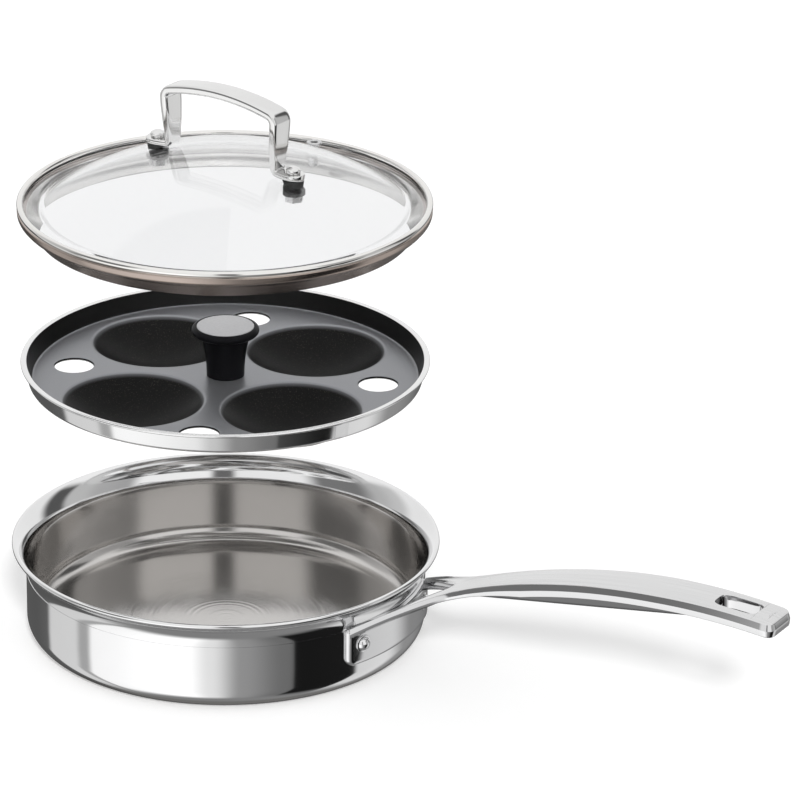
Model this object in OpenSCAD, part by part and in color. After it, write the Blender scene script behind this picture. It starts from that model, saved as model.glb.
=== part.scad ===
// Egg poacher pan: a handled pan, a four-cup tray and a glass lid, drawn with the tray and the lid lifted.
// Millimetres. +Z is up, the origin is the centre of the pan's underside and the long handle runs along +X.

/* [Pan] */
// inside radius of the straight wall
pan_inner_r = 100; // [99:0.5:106]
// thickness of the pan's wall and lip
pan_wall_t = 2.5; // [2:0.1:3]
// thickness of the pan's base
pan_base_t = 4.5; // [3:0.5:7]
// radius of the outer corner between base and wall
pan_corner_r = 10.5; // [8:0.5:14]
// height of the straight wall, up to the start of the flared lip
pan_wall_h = 36; // [33:0.5:40]
// bend radius of the flared lip, at the middle of the sheet
lip_bend_r = 16; // [14:0.5:18]
// angle that the flared lip turns through
lip_angle = 56; // [50:1:62]
// depth of the thin line round the wall
crease_depth = 0.3; // [0.2:0.1:0.6]

/* [Pan handle] */
// radius of the handle's arched top face
handle_arch_r = 362; // [330:1:400]
// height of the handle's highest point above the pan's straight wall
handle_rise = 50; // [46:0.5:56]
// length of the handle from the pan's wall to its tip
handle_length = 216.5; // [205:0.5:230]
// thickness of the handle along its edges
handle_edge_t = 7.3; // [6:0.1:9]
// distance from the pan's wall to the handle's narrow neck
neck_reach = 53.5; // [50:0.5:58]
// distance from the pan's wall to the widest part of the grip
grip_reach = 153.5; // [140:0.5:165]
// half of the handle's width at its narrow neck
neck_half_w = 10.9; // [9.5:0.1:12]
// half of the handle's width at its widest
grip_half_w = 13.1; // [12.5:0.1:14.5]
// radius of the rounded belly under the grip
belly_r = 12; // [11:0.5:13]
// depth of the belly line below the top face at the neck
belly_drop = 8.16; // [7.4:0.02:9]
// slope of the belly line in degrees
belly_slope = 9.2; // [8.4:0.1:9.8]
// distance from the pan's wall to the point where the fork's two arms meet
fork_reach = 34.5; // [31:0.5:38]
// upright thickness of the arms near the wall
arm_t = 4.45; // [4:0.05:5.2]
// width of each arm where it meets the wall
arm_w = 7.2; // [6:0.1:8.4]
// radius of the tighter arch that hollows the fork's underside
fork_under_r = 207; // [190:1:230]
// thickness of the bracket plate on the wall
bracket_t = 3; // [2:0.1:4]
// height of the bracket plate
bracket_h = 20.4; // [18:0.1:23]
// half of the bracket plate's width
bracket_half_w = 38.68; // [35:0.02:42]
// length of the hang slot
slot_length = 23; // [18:0.5:26]
// width of the hang slot
slot_width = 13; // [9:0.5:14]
// distance of the hang slot's centre from the handle's tip
slot_inset = 23.5; // [21:0.5:27]

/* [Rivets] */
// radius of the rivets' shanks
rivet_r = 2.6; // [2:0.1:3]
// radius of the rivets' collars
rivet_collar_r = 4.6; // [4:0.1:5.5]
// distance of each rivet from the end of the bracket plate, measured across the handle
rivet_inset = 9.06; // [8:0.02:14]
// height of the rivets above the plate's lower edge
rivet_rise = 11.5; // [8:0.5:12]

/* [Tray] */
// how far the tray's rim reaches past the inside of the pan's wall
tray_rim_over = 3.4; // [2.8:0.1:4]
// width of the tray's rim
tray_rim_w = 3; // [2.6:0.1:3.4]
// how far the tray's wall leans inwards on its way down to the floor
tray_lean = 2.4; // [2.2:0.1:3]
// depth of the floor below the rim
tray_depth = 9.6; // [8:0.1:10.5]
// thickness of the tray's sheet
tray_t = 1.4; // [1:0.1:1.5]
// gap between the cups and the tray's wall
cup_wall_gap = 5.21; // [4:0.01:8]
// gap between two neighbouring cups
cup_gap = 7.32; // [6:0.02:12]
// depth of the cups below the floor
cup_depth = 15; // [12:0.5:16]
// angle of the first cup from the handle's line
cup_angle = 68.5; // [60:0.5:76]
// radius of the round lift holes
lift_hole_r = 10; // [6:0.5:10.5]
// gap between the lift holes and the tray's wall
lift_hole_gap = 10; // [7:0.5:11]
// how far the photograph shows the tray lifted
tray_lift = 102.2; // [60:0.2:160]

/* [Knob] */
// radius of the knob's cap
knob_cap_r = 17.1; // [16:0.1:18]
// radius of the knob's foot
knob_foot_r = 9.6; // [8:0.1:11]
// height of the knob above the tray's floor
knob_h = 26.5; // [24:0.5:29]
// width of the cap's ring round the satin disc
knob_ring_w = 2.6; // [2.2:0.1:5]
// radius of the screw under the knob
knob_screw_r = 2.4; // [2:0.1:3]

/* [Lid] */
// how far the bead round the lid reaches past the tray's rim
lid_bead_over = 0.5; // [0:0.1:1]
// radius of the bead's own section
bead_section_r = 1.6; // [1.3:0.1:1.9]
// height of the rounded steel band, from the bead's middle down to the shelf that rests on the tray
lid_band_h = 6.7; // [6.5:0.1:8]
// height of the skirt that leans in below the shelf
lid_skirt_h = 7.2; // [5:0.1:8.6]
// how far the skirt leans inwards
lid_skirt_lean = 5.3; // [4:0.1:6]
// thickness of the steel band and skirt
lid_band_t = 1; // [0.8:0.05:1]
// width of the steel and the flat edge of the glass together, from the bead to the dome
lid_flat_w = 10.9; // [10:0.1:13]
// height of the dome above the flat edge of the glass
dome_h = 26.15; // [24:0.05:28]
// thickness of the glass
glass_t = 4; // [3:0.1:4.5]
// how far the photograph shows the lid lifted off the tray
lid_lift = 76.95; // [40:0.05:120]

/* [Lid handle] */
// angle of the lid's handle from the long handle's line
lid_handle_angle = -6.1; // [-20:0.1:20]
// distance of each bolt from the lid's centre
lid_bolt_x = 43.4; // [41:0.1:46]
// height of the arch above the top of the dome
arch_rise = 35; // [31:0.5:42]
// radius of the arch's top
arch_r = 130; // [110:1:160]
// distance from each bolt to the outside of the leg beside it
leg_inset = 6.1; // [5.4:0.1:7.2]
// thickness of the strap
strap_t = 4.6; // [3.5:0.1:5.5]
// width of the strap
strap_w = 13; // [11:0.1:14]
// thickness of the feet
foot_t = 3; // [2.4:0.1:3.6]
// radius of the bolts' shanks
lid_bolt_r = 2.4; // [2:0.1:2.8]
// radius of the bolts' heads
lid_bolt_head_r = 3.7; // [3.4:0.1:4.4]
// distance of the steam vent's centre from the edge of the dome
vent_inset = 7; // [5.5:0.5:11]
// angle of the steam vent from the long handle's line
vent_angle = 91; // [80:0.5:100]
// radius of the steam vent's flange
vent_flange_r = 4; // [3:0.1:5]

/* [Hidden] */
$fn = 128;
gap = 0.05;
pan_outer_r = pan_inner_r + pan_wall_t;
// the lip bends about a ring outside the wall
lip_ring_r = pan_outer_r - pan_wall_t / 2 + lip_bend_r;
lip_inner_bend_r = lip_bend_r + pan_wall_t / 2;
lip_outer_bend_r = lip_bend_r - pan_wall_t / 2;
lip_edge_r = lip_ring_r - lip_bend_r * cos(lip_angle) + pan_wall_t / 2;
lip_clear = 0.9;
pan_fillet_r = pan_corner_r - 1.5;
// the bracket plate reaches up to the lip, and the rivets lie inside its ends
plate_r = pan_outer_r + gap + bracket_t;
bracket_top_z = pan_wall_h - 0.1;
bracket_low_z = bracket_top_z - bracket_h;
bracket_half_angle = asin(bracket_half_w / plate_r);
rivet_angle = asin((bracket_half_w - rivet_inset) / plate_r);
rivet_z = bracket_low_z + rivet_rise;
// the handle's top face is a long arch that springs from the wall just above the plate
handle_spring_z = bracket_top_z + 3.612;
handle_crown_z = pan_wall_h + handle_rise;
handle_crown_x = pan_outer_r
  + sqrt(pow(handle_arch_r, 2) - pow(handle_arch_r - handle_crown_z + handle_spring_z, 2));
handle_tip_x = pan_outer_r + handle_length;
neck_x = pan_outer_r + neck_reach;
grip_x = pan_outer_r + grip_reach;
slot_x = handle_tip_x - slot_inset;
fork_x = pan_outer_r + fork_reach;
// the fork's underside is the tighter arch, set by the arms' thickness halfway along them
arm_mid_x = pan_outer_r + fork_reach / 2 + 0.25;
arm_slope = asin((handle_crown_x - arm_mid_x) / handle_arch_r) + 1.06;
fork_under_x = arm_mid_x + fork_under_r * sin(arm_slope);
fork_under_z = top_face_z(arm_mid_x) - arm_t - fork_under_r * cos(arm_slope);
belly_x = neck_x - 2;
belly_z = top_face_z(belly_x) - belly_drop;
// the tray's rim comes to rest on the inside of the flared lip
tray_rim_r = pan_inner_r + tray_rim_over;
tray_mouth_r = tray_rim_r - tray_rim_w;
tray_floor_r = tray_mouth_r - tray_lean;
rim_edge_r = tray_t / 2;
tray_seat_z = pan_wall_h + rim_edge_r
  + sqrt(pow(lip_inner_bend_r + rim_edge_r + gap, 2) - pow(lip_ring_r - (tray_rim_r - rim_edge_r), 2));
tray_z = tray_seat_z + tray_lift;
lid_z = tray_z + lid_band_h + gap + lid_lift;
floor_z = tray_z - tray_depth;
// four equal cups fill the floor with their gaps, and each is part of a sphere
cup_edge_r = (tray_floor_r - cup_wall_gap - cup_gap / sqrt(2)) / (1 + sqrt(2));
cup_orbit_r = (2 * cup_edge_r + cup_gap) / sqrt(2);
cup_sphere_r = (pow(cup_edge_r, 2) + pow(cup_depth, 2)) / (2 * cup_depth) - tray_t;
cup_centre_h = cup_sphere_r - cup_depth;
lift_hole_orbit_r = tray_floor_r - lift_hole_gap - lift_hole_r;
knob_disc_r = knob_cap_r - knob_ring_w;
// the glass hangs below the bead, and its dome is part of a sphere
lid_bead_r = tray_rim_r + lid_bead_over;
dome_r = lid_bead_r - lid_flat_w;
// the skirt hangs inside the tray's mouth
skirt_top_r = tray_mouth_r - 0.5;
skirt_low_r = skirt_top_r - lid_skirt_lean;
glass_top_z = -bead_section_r - gap;
dome_sphere_r = (dome_r * dome_r + dome_h * dome_h) / (2 * dome_h);
dome_centre_z = glass_top_z + dome_h - dome_sphere_r;
glass_at_bolt = dome_centre_z + sqrt(pow(dome_sphere_r, 2) - pow(lid_bolt_x - 5.6, 2));
foot_z = glass_at_bolt + 1.4;
glass_edge_r = lid_bead_r - 2.7;
arch_top_z = glass_top_z + dome_h + arch_rise;
arch_half_l = lid_bolt_x - leg_inset;
vent_orbit_r = dome_r - vent_inset;

// height of the handle's top face at distance x
function top_face_z(x) = handle_crown_z - handle_arch_r
  + sqrt(pow(handle_arch_r, 2) - pow(handle_crown_x - x, 2));

module ring(r_out, r_in, z0, z1) {
  difference() {
    translate([0, 0, z0])
      cylinder(r = r_out, h = z1 - z0);
    translate([0, 0, z0 - 1])
      cylinder(r = r_in, h = z1 - z0 + 2);
  }
}

module pan_section() {
  difference() {
    union() {
      square([pan_outer_r - pan_corner_r, pan_corner_r]);
      translate([pan_outer_r - pan_corner_r, pan_corner_r])
        circle(r = pan_corner_r);
      translate([0, pan_corner_r])
        square([pan_outer_r, pan_wall_h - pan_corner_r]);
    }
    translate([-1, pan_base_t])
      square([pan_inner_r - pan_fillet_r + 1, 99]);
    translate([pan_inner_r - pan_fillet_r, pan_base_t + pan_fillet_r])
      circle(r = pan_fillet_r);
    translate([-1, pan_base_t + pan_fillet_r])
      square([pan_inner_r + 1, 99]);
    translate([pan_outer_r - crease_depth, pan_wall_h - 0.7])
      square([2, 0.5]);
    translate([-200, -1])
      square([200, 200]);
  }
  intersection() {
    difference() {
      translate([lip_ring_r, pan_wall_h])
        circle(r = lip_inner_bend_r);
      translate([lip_ring_r, pan_wall_h])
        circle(r = lip_bend_r - pan_wall_t / 2);
    }
    translate([lip_ring_r, pan_wall_h])
      polygon([[0, 0], [-40, 0], [-40 * cos(lip_angle), 40 * sin(lip_angle)]]);
  }
  translate([lip_ring_r - lip_bend_r * cos(lip_angle), pan_wall_h + lip_bend_r * sin(lip_angle)])
    circle(r = pan_wall_t / 2);
}

module pan_body() {
  color([0.72, 0.72, 0.73])
    difference() {
      rotate_extrude($fn = 256)
        pan_section();
      for (side = [-1, 1])
        rotate([0, 0, side * rivet_angle])
          translate([pan_inner_r - 5, 0, rivet_z])
            rotate([0, 90, 0])
              cylinder(r = rivet_r + gap, h = 12);
    }
}

// half width of the grip at distance x: narrow at the neck, widest before the tip
function half_w(x) = x < neck_x ? neck_half_w + 4.51 * pow((neck_x - x) / (neck_x - fork_x + 6), 2)
  : x < grip_x ? (neck_half_w + grip_half_w) / 2
    - (grip_half_w - neck_half_w) * cos(180 * (x - neck_x) / (grip_x - neck_x)) / 2
  : grip_half_w - 0.018 * (x - grip_x);

module grip_outline() {
  corner_r = 5;
  tip_w = half_w(handle_tip_x) - corner_r;
  start_x = fork_x + 5;
  polygon(concat(
    [[start_x - 8, -half_w(start_x)]],
    [for (x = [start_x:6:handle_tip_x - 12]) [x, -half_w(x)]],
    [for (a = [-90:15:0]) [handle_tip_x - corner_r + corner_r * cos(a), -tip_w + corner_r * sin(a)]],
    [for (a = [0:15:90]) [handle_tip_x - corner_r + corner_r * cos(a), tip_w + corner_r * sin(a)]],
    [for (x = [handle_tip_x - 13:-6:start_x]) [x, half_w(x)]],
    [[start_x - 8, half_w(start_x)]]
  ));
}

// one arm of the fork seen from above, from the plate on the wall to the neck;
// s runs from 0 at the wall to 1 where the arms meet
module arm_outline(side) {
  outer_y = bracket_half_w - 0.48;
  inner_y = outer_y - arm_w;
  function at(s, y) = [pan_outer_r + fork_reach * s, side * y];
  polygon([at(1.377, 0), at(1, 0), at(0.884, 0.11 * inner_y), at(0.275, 0.661 * inner_y), at(-0.072, inner_y),
    at(-0.13, outer_y), at(0.043, 0.895 * outer_y), at(0.391, 0.691 * outer_y), at(0.797, 0.461 * outer_y),
    at(1.145, 0.325 * outer_y), at(1.377, neck_half_w + 0.1)]);
}

module arch_body(r) {
  translate([handle_crown_x, 0, handle_crown_z - handle_arch_r])
    rotate([90, 0, 0])
      cylinder(r = r, h = 3 * bracket_half_w, center = true, $fn = 360);
}

module bracket_plate() {
  difference() {
    intersection() {
      ring(plate_r, pan_outer_r + gap, bracket_low_z, bracket_top_z);
      rotate([0, 0, -bracket_half_angle])
        rotate_extrude(angle = 2 * bracket_half_angle)
          square([2 * plate_r, 2 * bracket_top_z]);
    }
    for (side = [-1, 1])
      rotate([0, 0, side * (bracket_half_angle + 0.3)])
        translate([pan_outer_r, 0, bracket_low_z - 0.3])
          rotate([45, 0, 0])
            cube([20, 4.6, 4.6], center = true);
  }
}

module pan_handle() {
  color([0.8, 0.8, 0.81])
    difference() {
      union() {
        bracket_plate();
        // the two arms and the edge of the grip, hollowed below by a tighter arch
        difference() {
          union() {
            intersection() {
              arch_body(handle_arch_r);
              union() {
                linear_extrude(height = handle_crown_z)
                  arm_outline(-1);
                linear_extrude(height = handle_crown_z)
                  arm_outline(1);
              }
            }
            intersection() {
              difference() {
                arch_body(handle_arch_r);
                arch_body(handle_arch_r - handle_edge_t);
              }
              linear_extrude(height = 2 * handle_crown_z)
                grip_outline();
            }
          }
          translate([fork_under_x, 0, fork_under_z])
            rotate([90, 0, 0])
              cylinder(r = fork_under_r, h = 4 * bracket_half_w, center = true, $fn = 360);
        }
        // the rounded belly fills the hand under the grip
        intersection() {
          arch_body(handle_arch_r - 2);
          linear_extrude(height = 2 * handle_crown_z)
            grip_outline();
          translate([belly_x, 0, belly_z])
            rotate([0, -belly_slope, 0])
              translate([-12, 0, belly_r])
                rotate([0, 90, 0])
                  cylinder(r = belly_r, h = 0.74 * handle_length);
        }
      }
      // the pan's own wall and lip stay clear of the bracket
      translate([0, 0, -1])
        cylinder(r = pan_outer_r + gap, h = pan_wall_h + 1);
      translate([0, 0, bracket_top_z])
        cylinder(r = lip_ring_r - sqrt(pow(lip_outer_bend_r, 2) - 36) + lip_clear, h = 7);
      translate([0, 0, pan_wall_h + 6])
        cylinder(r = lip_edge_r + lip_clear, h = handle_rise);
      // the hang slot with cut corners
      translate([slot_x, 0, pan_wall_h])
        linear_extrude(height = 2 * handle_rise)
          polygon([[-slot_length / 2, -slot_width / 2 + 2.4], [-slot_length / 2 + 2.4, -slot_width / 2],
            [slot_length / 2 - 2.4, -slot_width / 2], [slot_length / 2, -slot_width / 2 + 2.4],
            [slot_length / 2, slot_width / 2 - 2.4], [slot_length / 2 - 2.4, slot_width / 2],
            [-slot_length / 2 + 2.4, slot_width / 2], [-slot_length / 2, slot_width / 2 - 2.4]]);
      for (side = [-1, 1])
        rotate([0, 0, side * rivet_angle])
          translate([pan_inner_r - 5, 0, rivet_z])
            rotate([0, 90, 0])
              cylinder(r = rivet_r + gap, h = 14);
      // a flat seat for each rivet's collar
      for (side = [-1, 1])
        rotate([0, 0, side * rivet_angle])
          translate([plate_r - 0.3, 0, rivet_z])
            rotate([0, 90, 0])
              cylinder(r = rivet_collar_r + 0.4, h = 20);
    }
}

module handle_rivet(side) {
  seat_x = plate_r - 0.3;
  color([0.85, 0.85, 0.86])
    rotate([0, 0, side * rivet_angle])
      translate([0, 0, rivet_z])
        rotate([0, 90, 0]) {
          difference() {
            union() {
              translate([0, 0, pan_inner_r - 0.9])
                cylinder(r = rivet_collar_r, h = 1.4);
              translate([0, 0, pan_inner_r - 0.9])
                cylinder(r = rivet_r, h = seat_x - pan_inner_r + 2);
            }
            // the inner head fits against the round wall
            difference() {
              rotate([0, 90, 0])
                cylinder(r = pan_inner_r + 1.3, h = 30, center = true);
              rotate([0, 90, 0])
                cylinder(r = pan_inner_r - gap, h = 30, center = true);
              cylinder(r = rivet_r, h = 200);
            }
          }
          translate([0, 0, seat_x + gap])
            cylinder(r = rivet_collar_r, h = 1);
          translate([0, 0, seat_x + gap + 1])
            intersection() {
              translate([0, 0, -1.6])
                sphere(r = 3.9, $fn = 64);
              cylinder(r = 5, h = 5);
            }
        }
}

module handle_rivet_left() {
  handle_rivet(-1);
}

module handle_rivet_right() {
  handle_rivet(1);
}

module tray_section() {
  // rim, wall and floor of the pressing
  polygon([[0, -tray_depth], [tray_floor_r, -tray_depth], [tray_mouth_r, 0], [tray_rim_r - rim_edge_r, 0],
    [tray_rim_r - rim_edge_r, -tray_t], [tray_mouth_r + tray_t + 0.1, -tray_t],
    [tray_floor_r + tray_t, -tray_depth - 0.3], [tray_floor_r + tray_t - 1, -tray_depth - tray_t],
    [0, -tray_depth - tray_t]]);
  translate([tray_rim_r - rim_edge_r, -rim_edge_r])
    circle(r = rim_edge_r);
}

module cup_section() {
  // a round-bottomed cup whose edge rolls over into the floor
  intersection() {
    difference() {
      translate([0, cup_centre_h])
        circle(r = cup_sphere_r + tray_t);
      translate([0, cup_centre_h])
        circle(r = cup_sphere_r);
    }
    translate([0, cup_centre_h])
      polygon([[0, 0], [0, -120], [3 * cup_edge_r, -3 * (cup_centre_h + tray_t)]]);
  }
  intersection() {
    translate([cup_edge_r, -tray_t])
      circle(r = tray_t);
    translate([0, -50])
      square([cup_edge_r + 0.01, 100]);
  }
}

module tray_insert() {
  color([0.16, 0.16, 0.17])
    translate([0, 0, tray_z]) {
      difference() {
        rotate_extrude($fn = 256)
          tray_section();
        for (i = [0:3])
          rotate([0, 0, cup_angle + 90 * i])
            translate([cup_orbit_r, 0, -30])
              cylinder(r = cup_edge_r, h = 40);
        for (i = [0:3])
          rotate([0, 0, cup_angle - 45 + 90 * i])
            translate([lift_hole_orbit_r, 0, -30])
              cylinder(r = lift_hole_r, h = 40);
        translate([0, 0, -30])
          cylinder(r = knob_screw_r + 0.2, h = 40);
      }
      for (i = [0:3])
        rotate([0, 0, cup_angle + 90 * i])
          translate([cup_orbit_r, 0, -tray_depth])
            rotate_extrude()
              cup_section();
    }
}

module knob_section() {
  // tapered stem that opens into a wide cap with a rounded edge
  stem_top = knob_h - 6;
  polygon(concat(
    [[0, 0], [knob_foot_r, 0]],
    [for (i = [1:8]) [knob_foot_r + 2.6 * pow(i / 8, 2), stem_top * i / 8]],
    [for (i = [1:5]) [knob_cap_r - 2 - (knob_cap_r - knob_foot_r - 4.6) * cos(18 * i),
      stem_top + 2 * sin(18 * i)]],
    [[knob_cap_r - 2, knob_h - 3], [0, knob_h - 3]]
  ));
  translate([0, knob_h - 4.4])
    square([knob_cap_r - 2.2, 4.4]);
  translate([knob_cap_r - 2.2, knob_h - 2.2])
    circle(r = 2.2);
}

module knob_grip() {
  color([0.09, 0.09, 0.1])
    translate([0, 0, floor_z + gap])
      difference() {
        rotate_extrude()
          knob_section();
        translate([0, 0, knob_h - 0.8])
          cylinder(r = knob_disc_r + gap, h = 5);
        translate([0, 0, -1])
          cylinder(r = knob_screw_r + gap, h = 17);
      }
}

module knob_top_disc() {
  color([0.66, 0.67, 0.68])
    translate([0, 0, floor_z + knob_h - 0.8 + 2 * gap])
      cylinder(r = knob_disc_r, h = 0.8);
}

module knob_washer() {
  color([0.75, 0.75, 0.76])
    translate([0, 0, floor_z - tray_t - gap - 1])
      difference() {
        cylinder(r = knob_screw_r + 4.6, h = 1);
        translate([0, 0, -1])
          cylinder(r = knob_screw_r + 0.2, h = 3);
      }
}

module knob_screw() {
  color([0.7, 0.7, 0.71])
    translate([0, 0, floor_z - tray_t - 2 * gap - 1]) {
      cylinder(r = knob_screw_r, h = 16);
      difference() {
        intersection() {
          translate([0, 0, -2.6])
            cylinder(r = knob_screw_r + 2.2, h = 2.6);
          translate([0, 0, 3.6])
            sphere(r = 6.2);
        }
        for (a = [0, 90])
          rotate([0, 0, a])
            translate([0, 0, -2.4])
              cube([4.6, 0.9, 2], center = true);
      }
    }
}

module lid_glass() {
  color([0.75, 0.82, 0.84, 0.4])
    translate([0, 0, lid_z])
      difference() {
        union() {
          ring(glass_edge_r, dome_r - 3, glass_top_z - glass_t, glass_top_z);
          intersection() {
            translate([0, 0, dome_centre_z])
              sphere(r = dome_sphere_r, $fn = 256);
            translate([0, 0, glass_top_z - glass_t])
              cylinder(r = dome_r, h = 80);
          }
        }
        intersection() {
          translate([0, 0, dome_centre_z])
            sphere(r = dome_sphere_r - glass_t, $fn = 256);
          translate([0, 0, glass_top_z - glass_t - 1])
            cylinder(r = dome_r - 1, h = 80);
        }
        for (side = [-1, 1])
          rotate([0, 0, lid_handle_angle])
            translate([side * lid_bolt_x, 0, -5])
              cylinder(r = lid_bolt_r + 0.8, h = 50);
        rotate([0, 0, vent_angle])
          translate([vent_orbit_r, 0, -10])
            cylinder(r = vent_flange_r - 1, h = 50);
      }
}

module lid_rim() {
  // bead over the edge of the glass, a rounded band, a shelf under the glass and a leaning skirt
  shelf_top = glass_top_z - glass_t - gap;
  shelf_low = -lid_band_h;
  skirt_low = shelf_low - lid_skirt_h;
  skirt_w = 1.2 * lid_band_t;
  color([0.62, 0.58, 0.55])
    translate([0, 0, lid_z])
      union() {
        rotate_extrude($fn = 256)
          translate([lid_bead_r - bead_section_r, 0])
            circle(r = bead_section_r);
        rotate_extrude($fn = 256)
          polygon([[lid_bead_r - 0.9, 0], [lid_bead_r - 0.5, -1.9], [lid_bead_r - 0.1, -2.8],
            [lid_bead_r - 0.1, -3.8], [lid_bead_r - 0.5, -5], [lid_bead_r - 1.3, shelf_low + 0.6],
            [lid_bead_r - 2.4, shelf_low], [skirt_top_r, shelf_low], [skirt_low_r, skirt_low],
            [skirt_low_r - skirt_w, skirt_low], [skirt_top_r - skirt_w, shelf_top],
            [lid_bead_r - 0.9 - lid_band_t, shelf_top], [lid_bead_r - 0.9 - lid_band_t, 0]]);
      }
}

// side view of the strap: an arch on two legs, with rounded shoulders outside
module strap_outline(half_l, r_top, low, shoulder) {
  lean = 1.8;
  top = arch_top_z - (arch_r - r_top);
  edge_z = top - (r_top - sqrt(r_top * r_top - pow(half_l, 2)));
  intersection() {
    translate([0, top - r_top])
      circle(r = r_top, $fn = 256);
    polygon(concat(
      [[-half_l + lean, low], [half_l - lean, low], [half_l, edge_z - shoulder]],
      [for (a = [0:15:60]) [half_l - shoulder + shoulder * cos(a), edge_z - shoulder + shoulder * sin(a)]],
      [[half_l - shoulder, edge_z + 20], [-half_l + shoulder, edge_z + 20]],
      [for (a = [120:15:180]) [shoulder - half_l + shoulder * cos(a), edge_z - shoulder + shoulder * sin(a)]],
      [[-half_l, edge_z - shoulder]]
    ));
  }
}

module lid_handle() {
  leg_trim_z = foot_z + foot_t + 0.2;
  color([0.82, 0.82, 0.83])
    translate([0, 0, lid_z])
      rotate([0, 0, lid_handle_angle])
        difference() {
          union() {
            difference() {
              rotate([90, 0, 0])
                linear_extrude(height = strap_w, center = true)
                  difference() {
                    strap_outline(arch_half_l, arch_r, foot_z, 5);
                    strap_outline(arch_half_l - strap_t, arch_r - strap_t, foot_z - 1, 2);
                  }
              // the legs narrow towards the feet
              for (side = [-1, 1])
                rotate([90, 0, 90])
                  translate([0, 0, -60])
                    linear_extrude(height = 120)
                      polygon([[side * (strap_w / 2 + 1), arch_top_z - 9],
                        [side * strap_w / 2, arch_top_z - 9], [side * (strap_w / 2 - 2.3), foot_z - 2],
                        [side * (strap_w / 2 + 1), foot_z - 2]]);
            }
            for (side = [-1, 1])
              intersection() {
                union() {
                  translate([side * lid_bolt_x, 0, foot_z])
                    cylinder(r = strap_w / 2 - 0.6, h = foot_t);
                  translate([side * (lid_bolt_x - 7), 0, foot_z + foot_t / 2])
                    cube([14, strap_w - 3.2, foot_t], center = true);
                }
              }
          }
          for (side = [-1, 1])
            translate([side * lid_bolt_x, 0, foot_z - 1])
              cylinder(r = lid_bolt_r + 0.1, h = 10);
          // the outside of each leg stays clear of its bolt's head
          for (side = [-1, 1])
            translate([side * lid_bolt_x, 0, foot_z + foot_t])
              cylinder(r = lid_bolt_head_r + 0.5, h = 5);
        }
}

module at_bolt(side) {
  translate([0, 0, lid_z])
    rotate([0, 0, lid_handle_angle])
      translate([side * lid_bolt_x, 0, 0])
        children();
}

module lid_bolt(side) {
  nut_low = dome_centre_z + sqrt(pow(dome_sphere_r - glass_t, 2) - pow(lid_bolt_x + 5, 2)) - 6.2;
  color([0.85, 0.85, 0.86])
    at_bolt(side) {
      translate([0, 0, nut_low])
        cylinder(r = lid_bolt_r, h = foot_z + foot_t + gap - nut_low);
      translate([0, 0, foot_z + foot_t + gap])
        cylinder(r = lid_bolt_head_r, h = 1.8);
      intersection() {
        translate([0, 0, foot_z + foot_t + gap + 1.8 - 3.6])
          sphere(r = 5.16);
        translate([0, 0, foot_z + foot_t + gap + 1.8])
          cylinder(r = lid_bolt_head_r, h = 5);
      }
    }
}

module lid_bolt_left() {
  lid_bolt(-1);
}

module lid_bolt_right() {
  lid_bolt(1);
}

// a black pad between the dome and the flat foot
module lid_gasket(side) {
  color([0.05, 0.05, 0.05])
    difference() {
      at_bolt(side)
        difference() {
          translate([0, 0, foot_z - gap - 8])
            cylinder(r = strap_w / 2 - 1, h = 8);
          translate([0, 0, foot_z - 20])
            cylinder(r = lid_bolt_r + 0.1, h = 30);
        }
      translate([0, 0, lid_z + dome_centre_z])
        sphere(r = dome_sphere_r + gap, $fn = 256);
    }
}

module lid_gasket_left() {
  lid_gasket(-1);
}

module lid_gasket_right() {
  lid_gasket(1);
}

// a flat-faced seal under the dome
module lid_seal(side) {
  seal_low = dome_centre_z + sqrt(pow(dome_sphere_r - glass_t, 2) - pow(lid_bolt_x + 5, 2)) - 1.6;
  color([0.07, 0.07, 0.07])
    intersection() {
      at_bolt(side)
        difference() {
          translate([0, 0, seal_low])
            cylinder(r = 5.5, h = 8);
          translate([0, 0, seal_low - 10])
            cylinder(r = lid_bolt_r + 0.1, h = 30);
        }
      translate([0, 0, lid_z + dome_centre_z])
        sphere(r = dome_sphere_r - glass_t - gap, $fn = 256);
    }
}

module lid_seal_left() {
  lid_seal(-1);
}

module lid_seal_right() {
  lid_seal(1);
}

// a six-sided nut that holds the bolt from inside
module lid_nut(side) {
  nut_top = dome_centre_z + sqrt(pow(dome_sphere_r - glass_t, 2) - pow(lid_bolt_x + 5, 2)) - 1.6 - gap;
  color([0.7, 0.7, 0.71])
    at_bolt(side)
      difference() {
        translate([0, 0, nut_top - 3.2])
          cylinder(r = 4.6, h = 3.2, $fn = 6);
        translate([0, 0, nut_top - 10])
          cylinder(r = lid_bolt_r + gap, h = 20);
      }
}

module lid_nut_left() {
  lid_nut(-1);
}

module lid_nut_right() {
  lid_nut(1);
}

module steam_vent() {
  // a hollow eyelet with a flange on the glass and a rolled end below it
  glass_here = dome_centre_z + sqrt(pow(dome_sphere_r, 2) - pow(vent_orbit_r - vent_flange_r, 2));
  glass_under = dome_centre_z + sqrt(pow(dome_sphere_r - glass_t, 2) - pow(vent_orbit_r + vent_flange_r, 2));
  color([0.8, 0.8, 0.81])
    difference() {
      union() {
        translate([0, 0, lid_z])
          rotate([0, 0, vent_angle])
            translate([vent_orbit_r, 0, 0]) {
              translate([0, 0, glass_here + gap])
                cylinder(r = vent_flange_r, h = 1.2);
              translate([0, 0, glass_under - 1.2])
                cylinder(r = vent_flange_r - 1.1, h = glass_here - glass_under + 2);
            }
      }
      translate([0, 0, lid_z])
        rotate([0, 0, vent_angle])
          translate([vent_orbit_r, 0, glass_under - 5])
            cylinder(r = vent_flange_r - 2.2, h = 40);
    }
}

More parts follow.
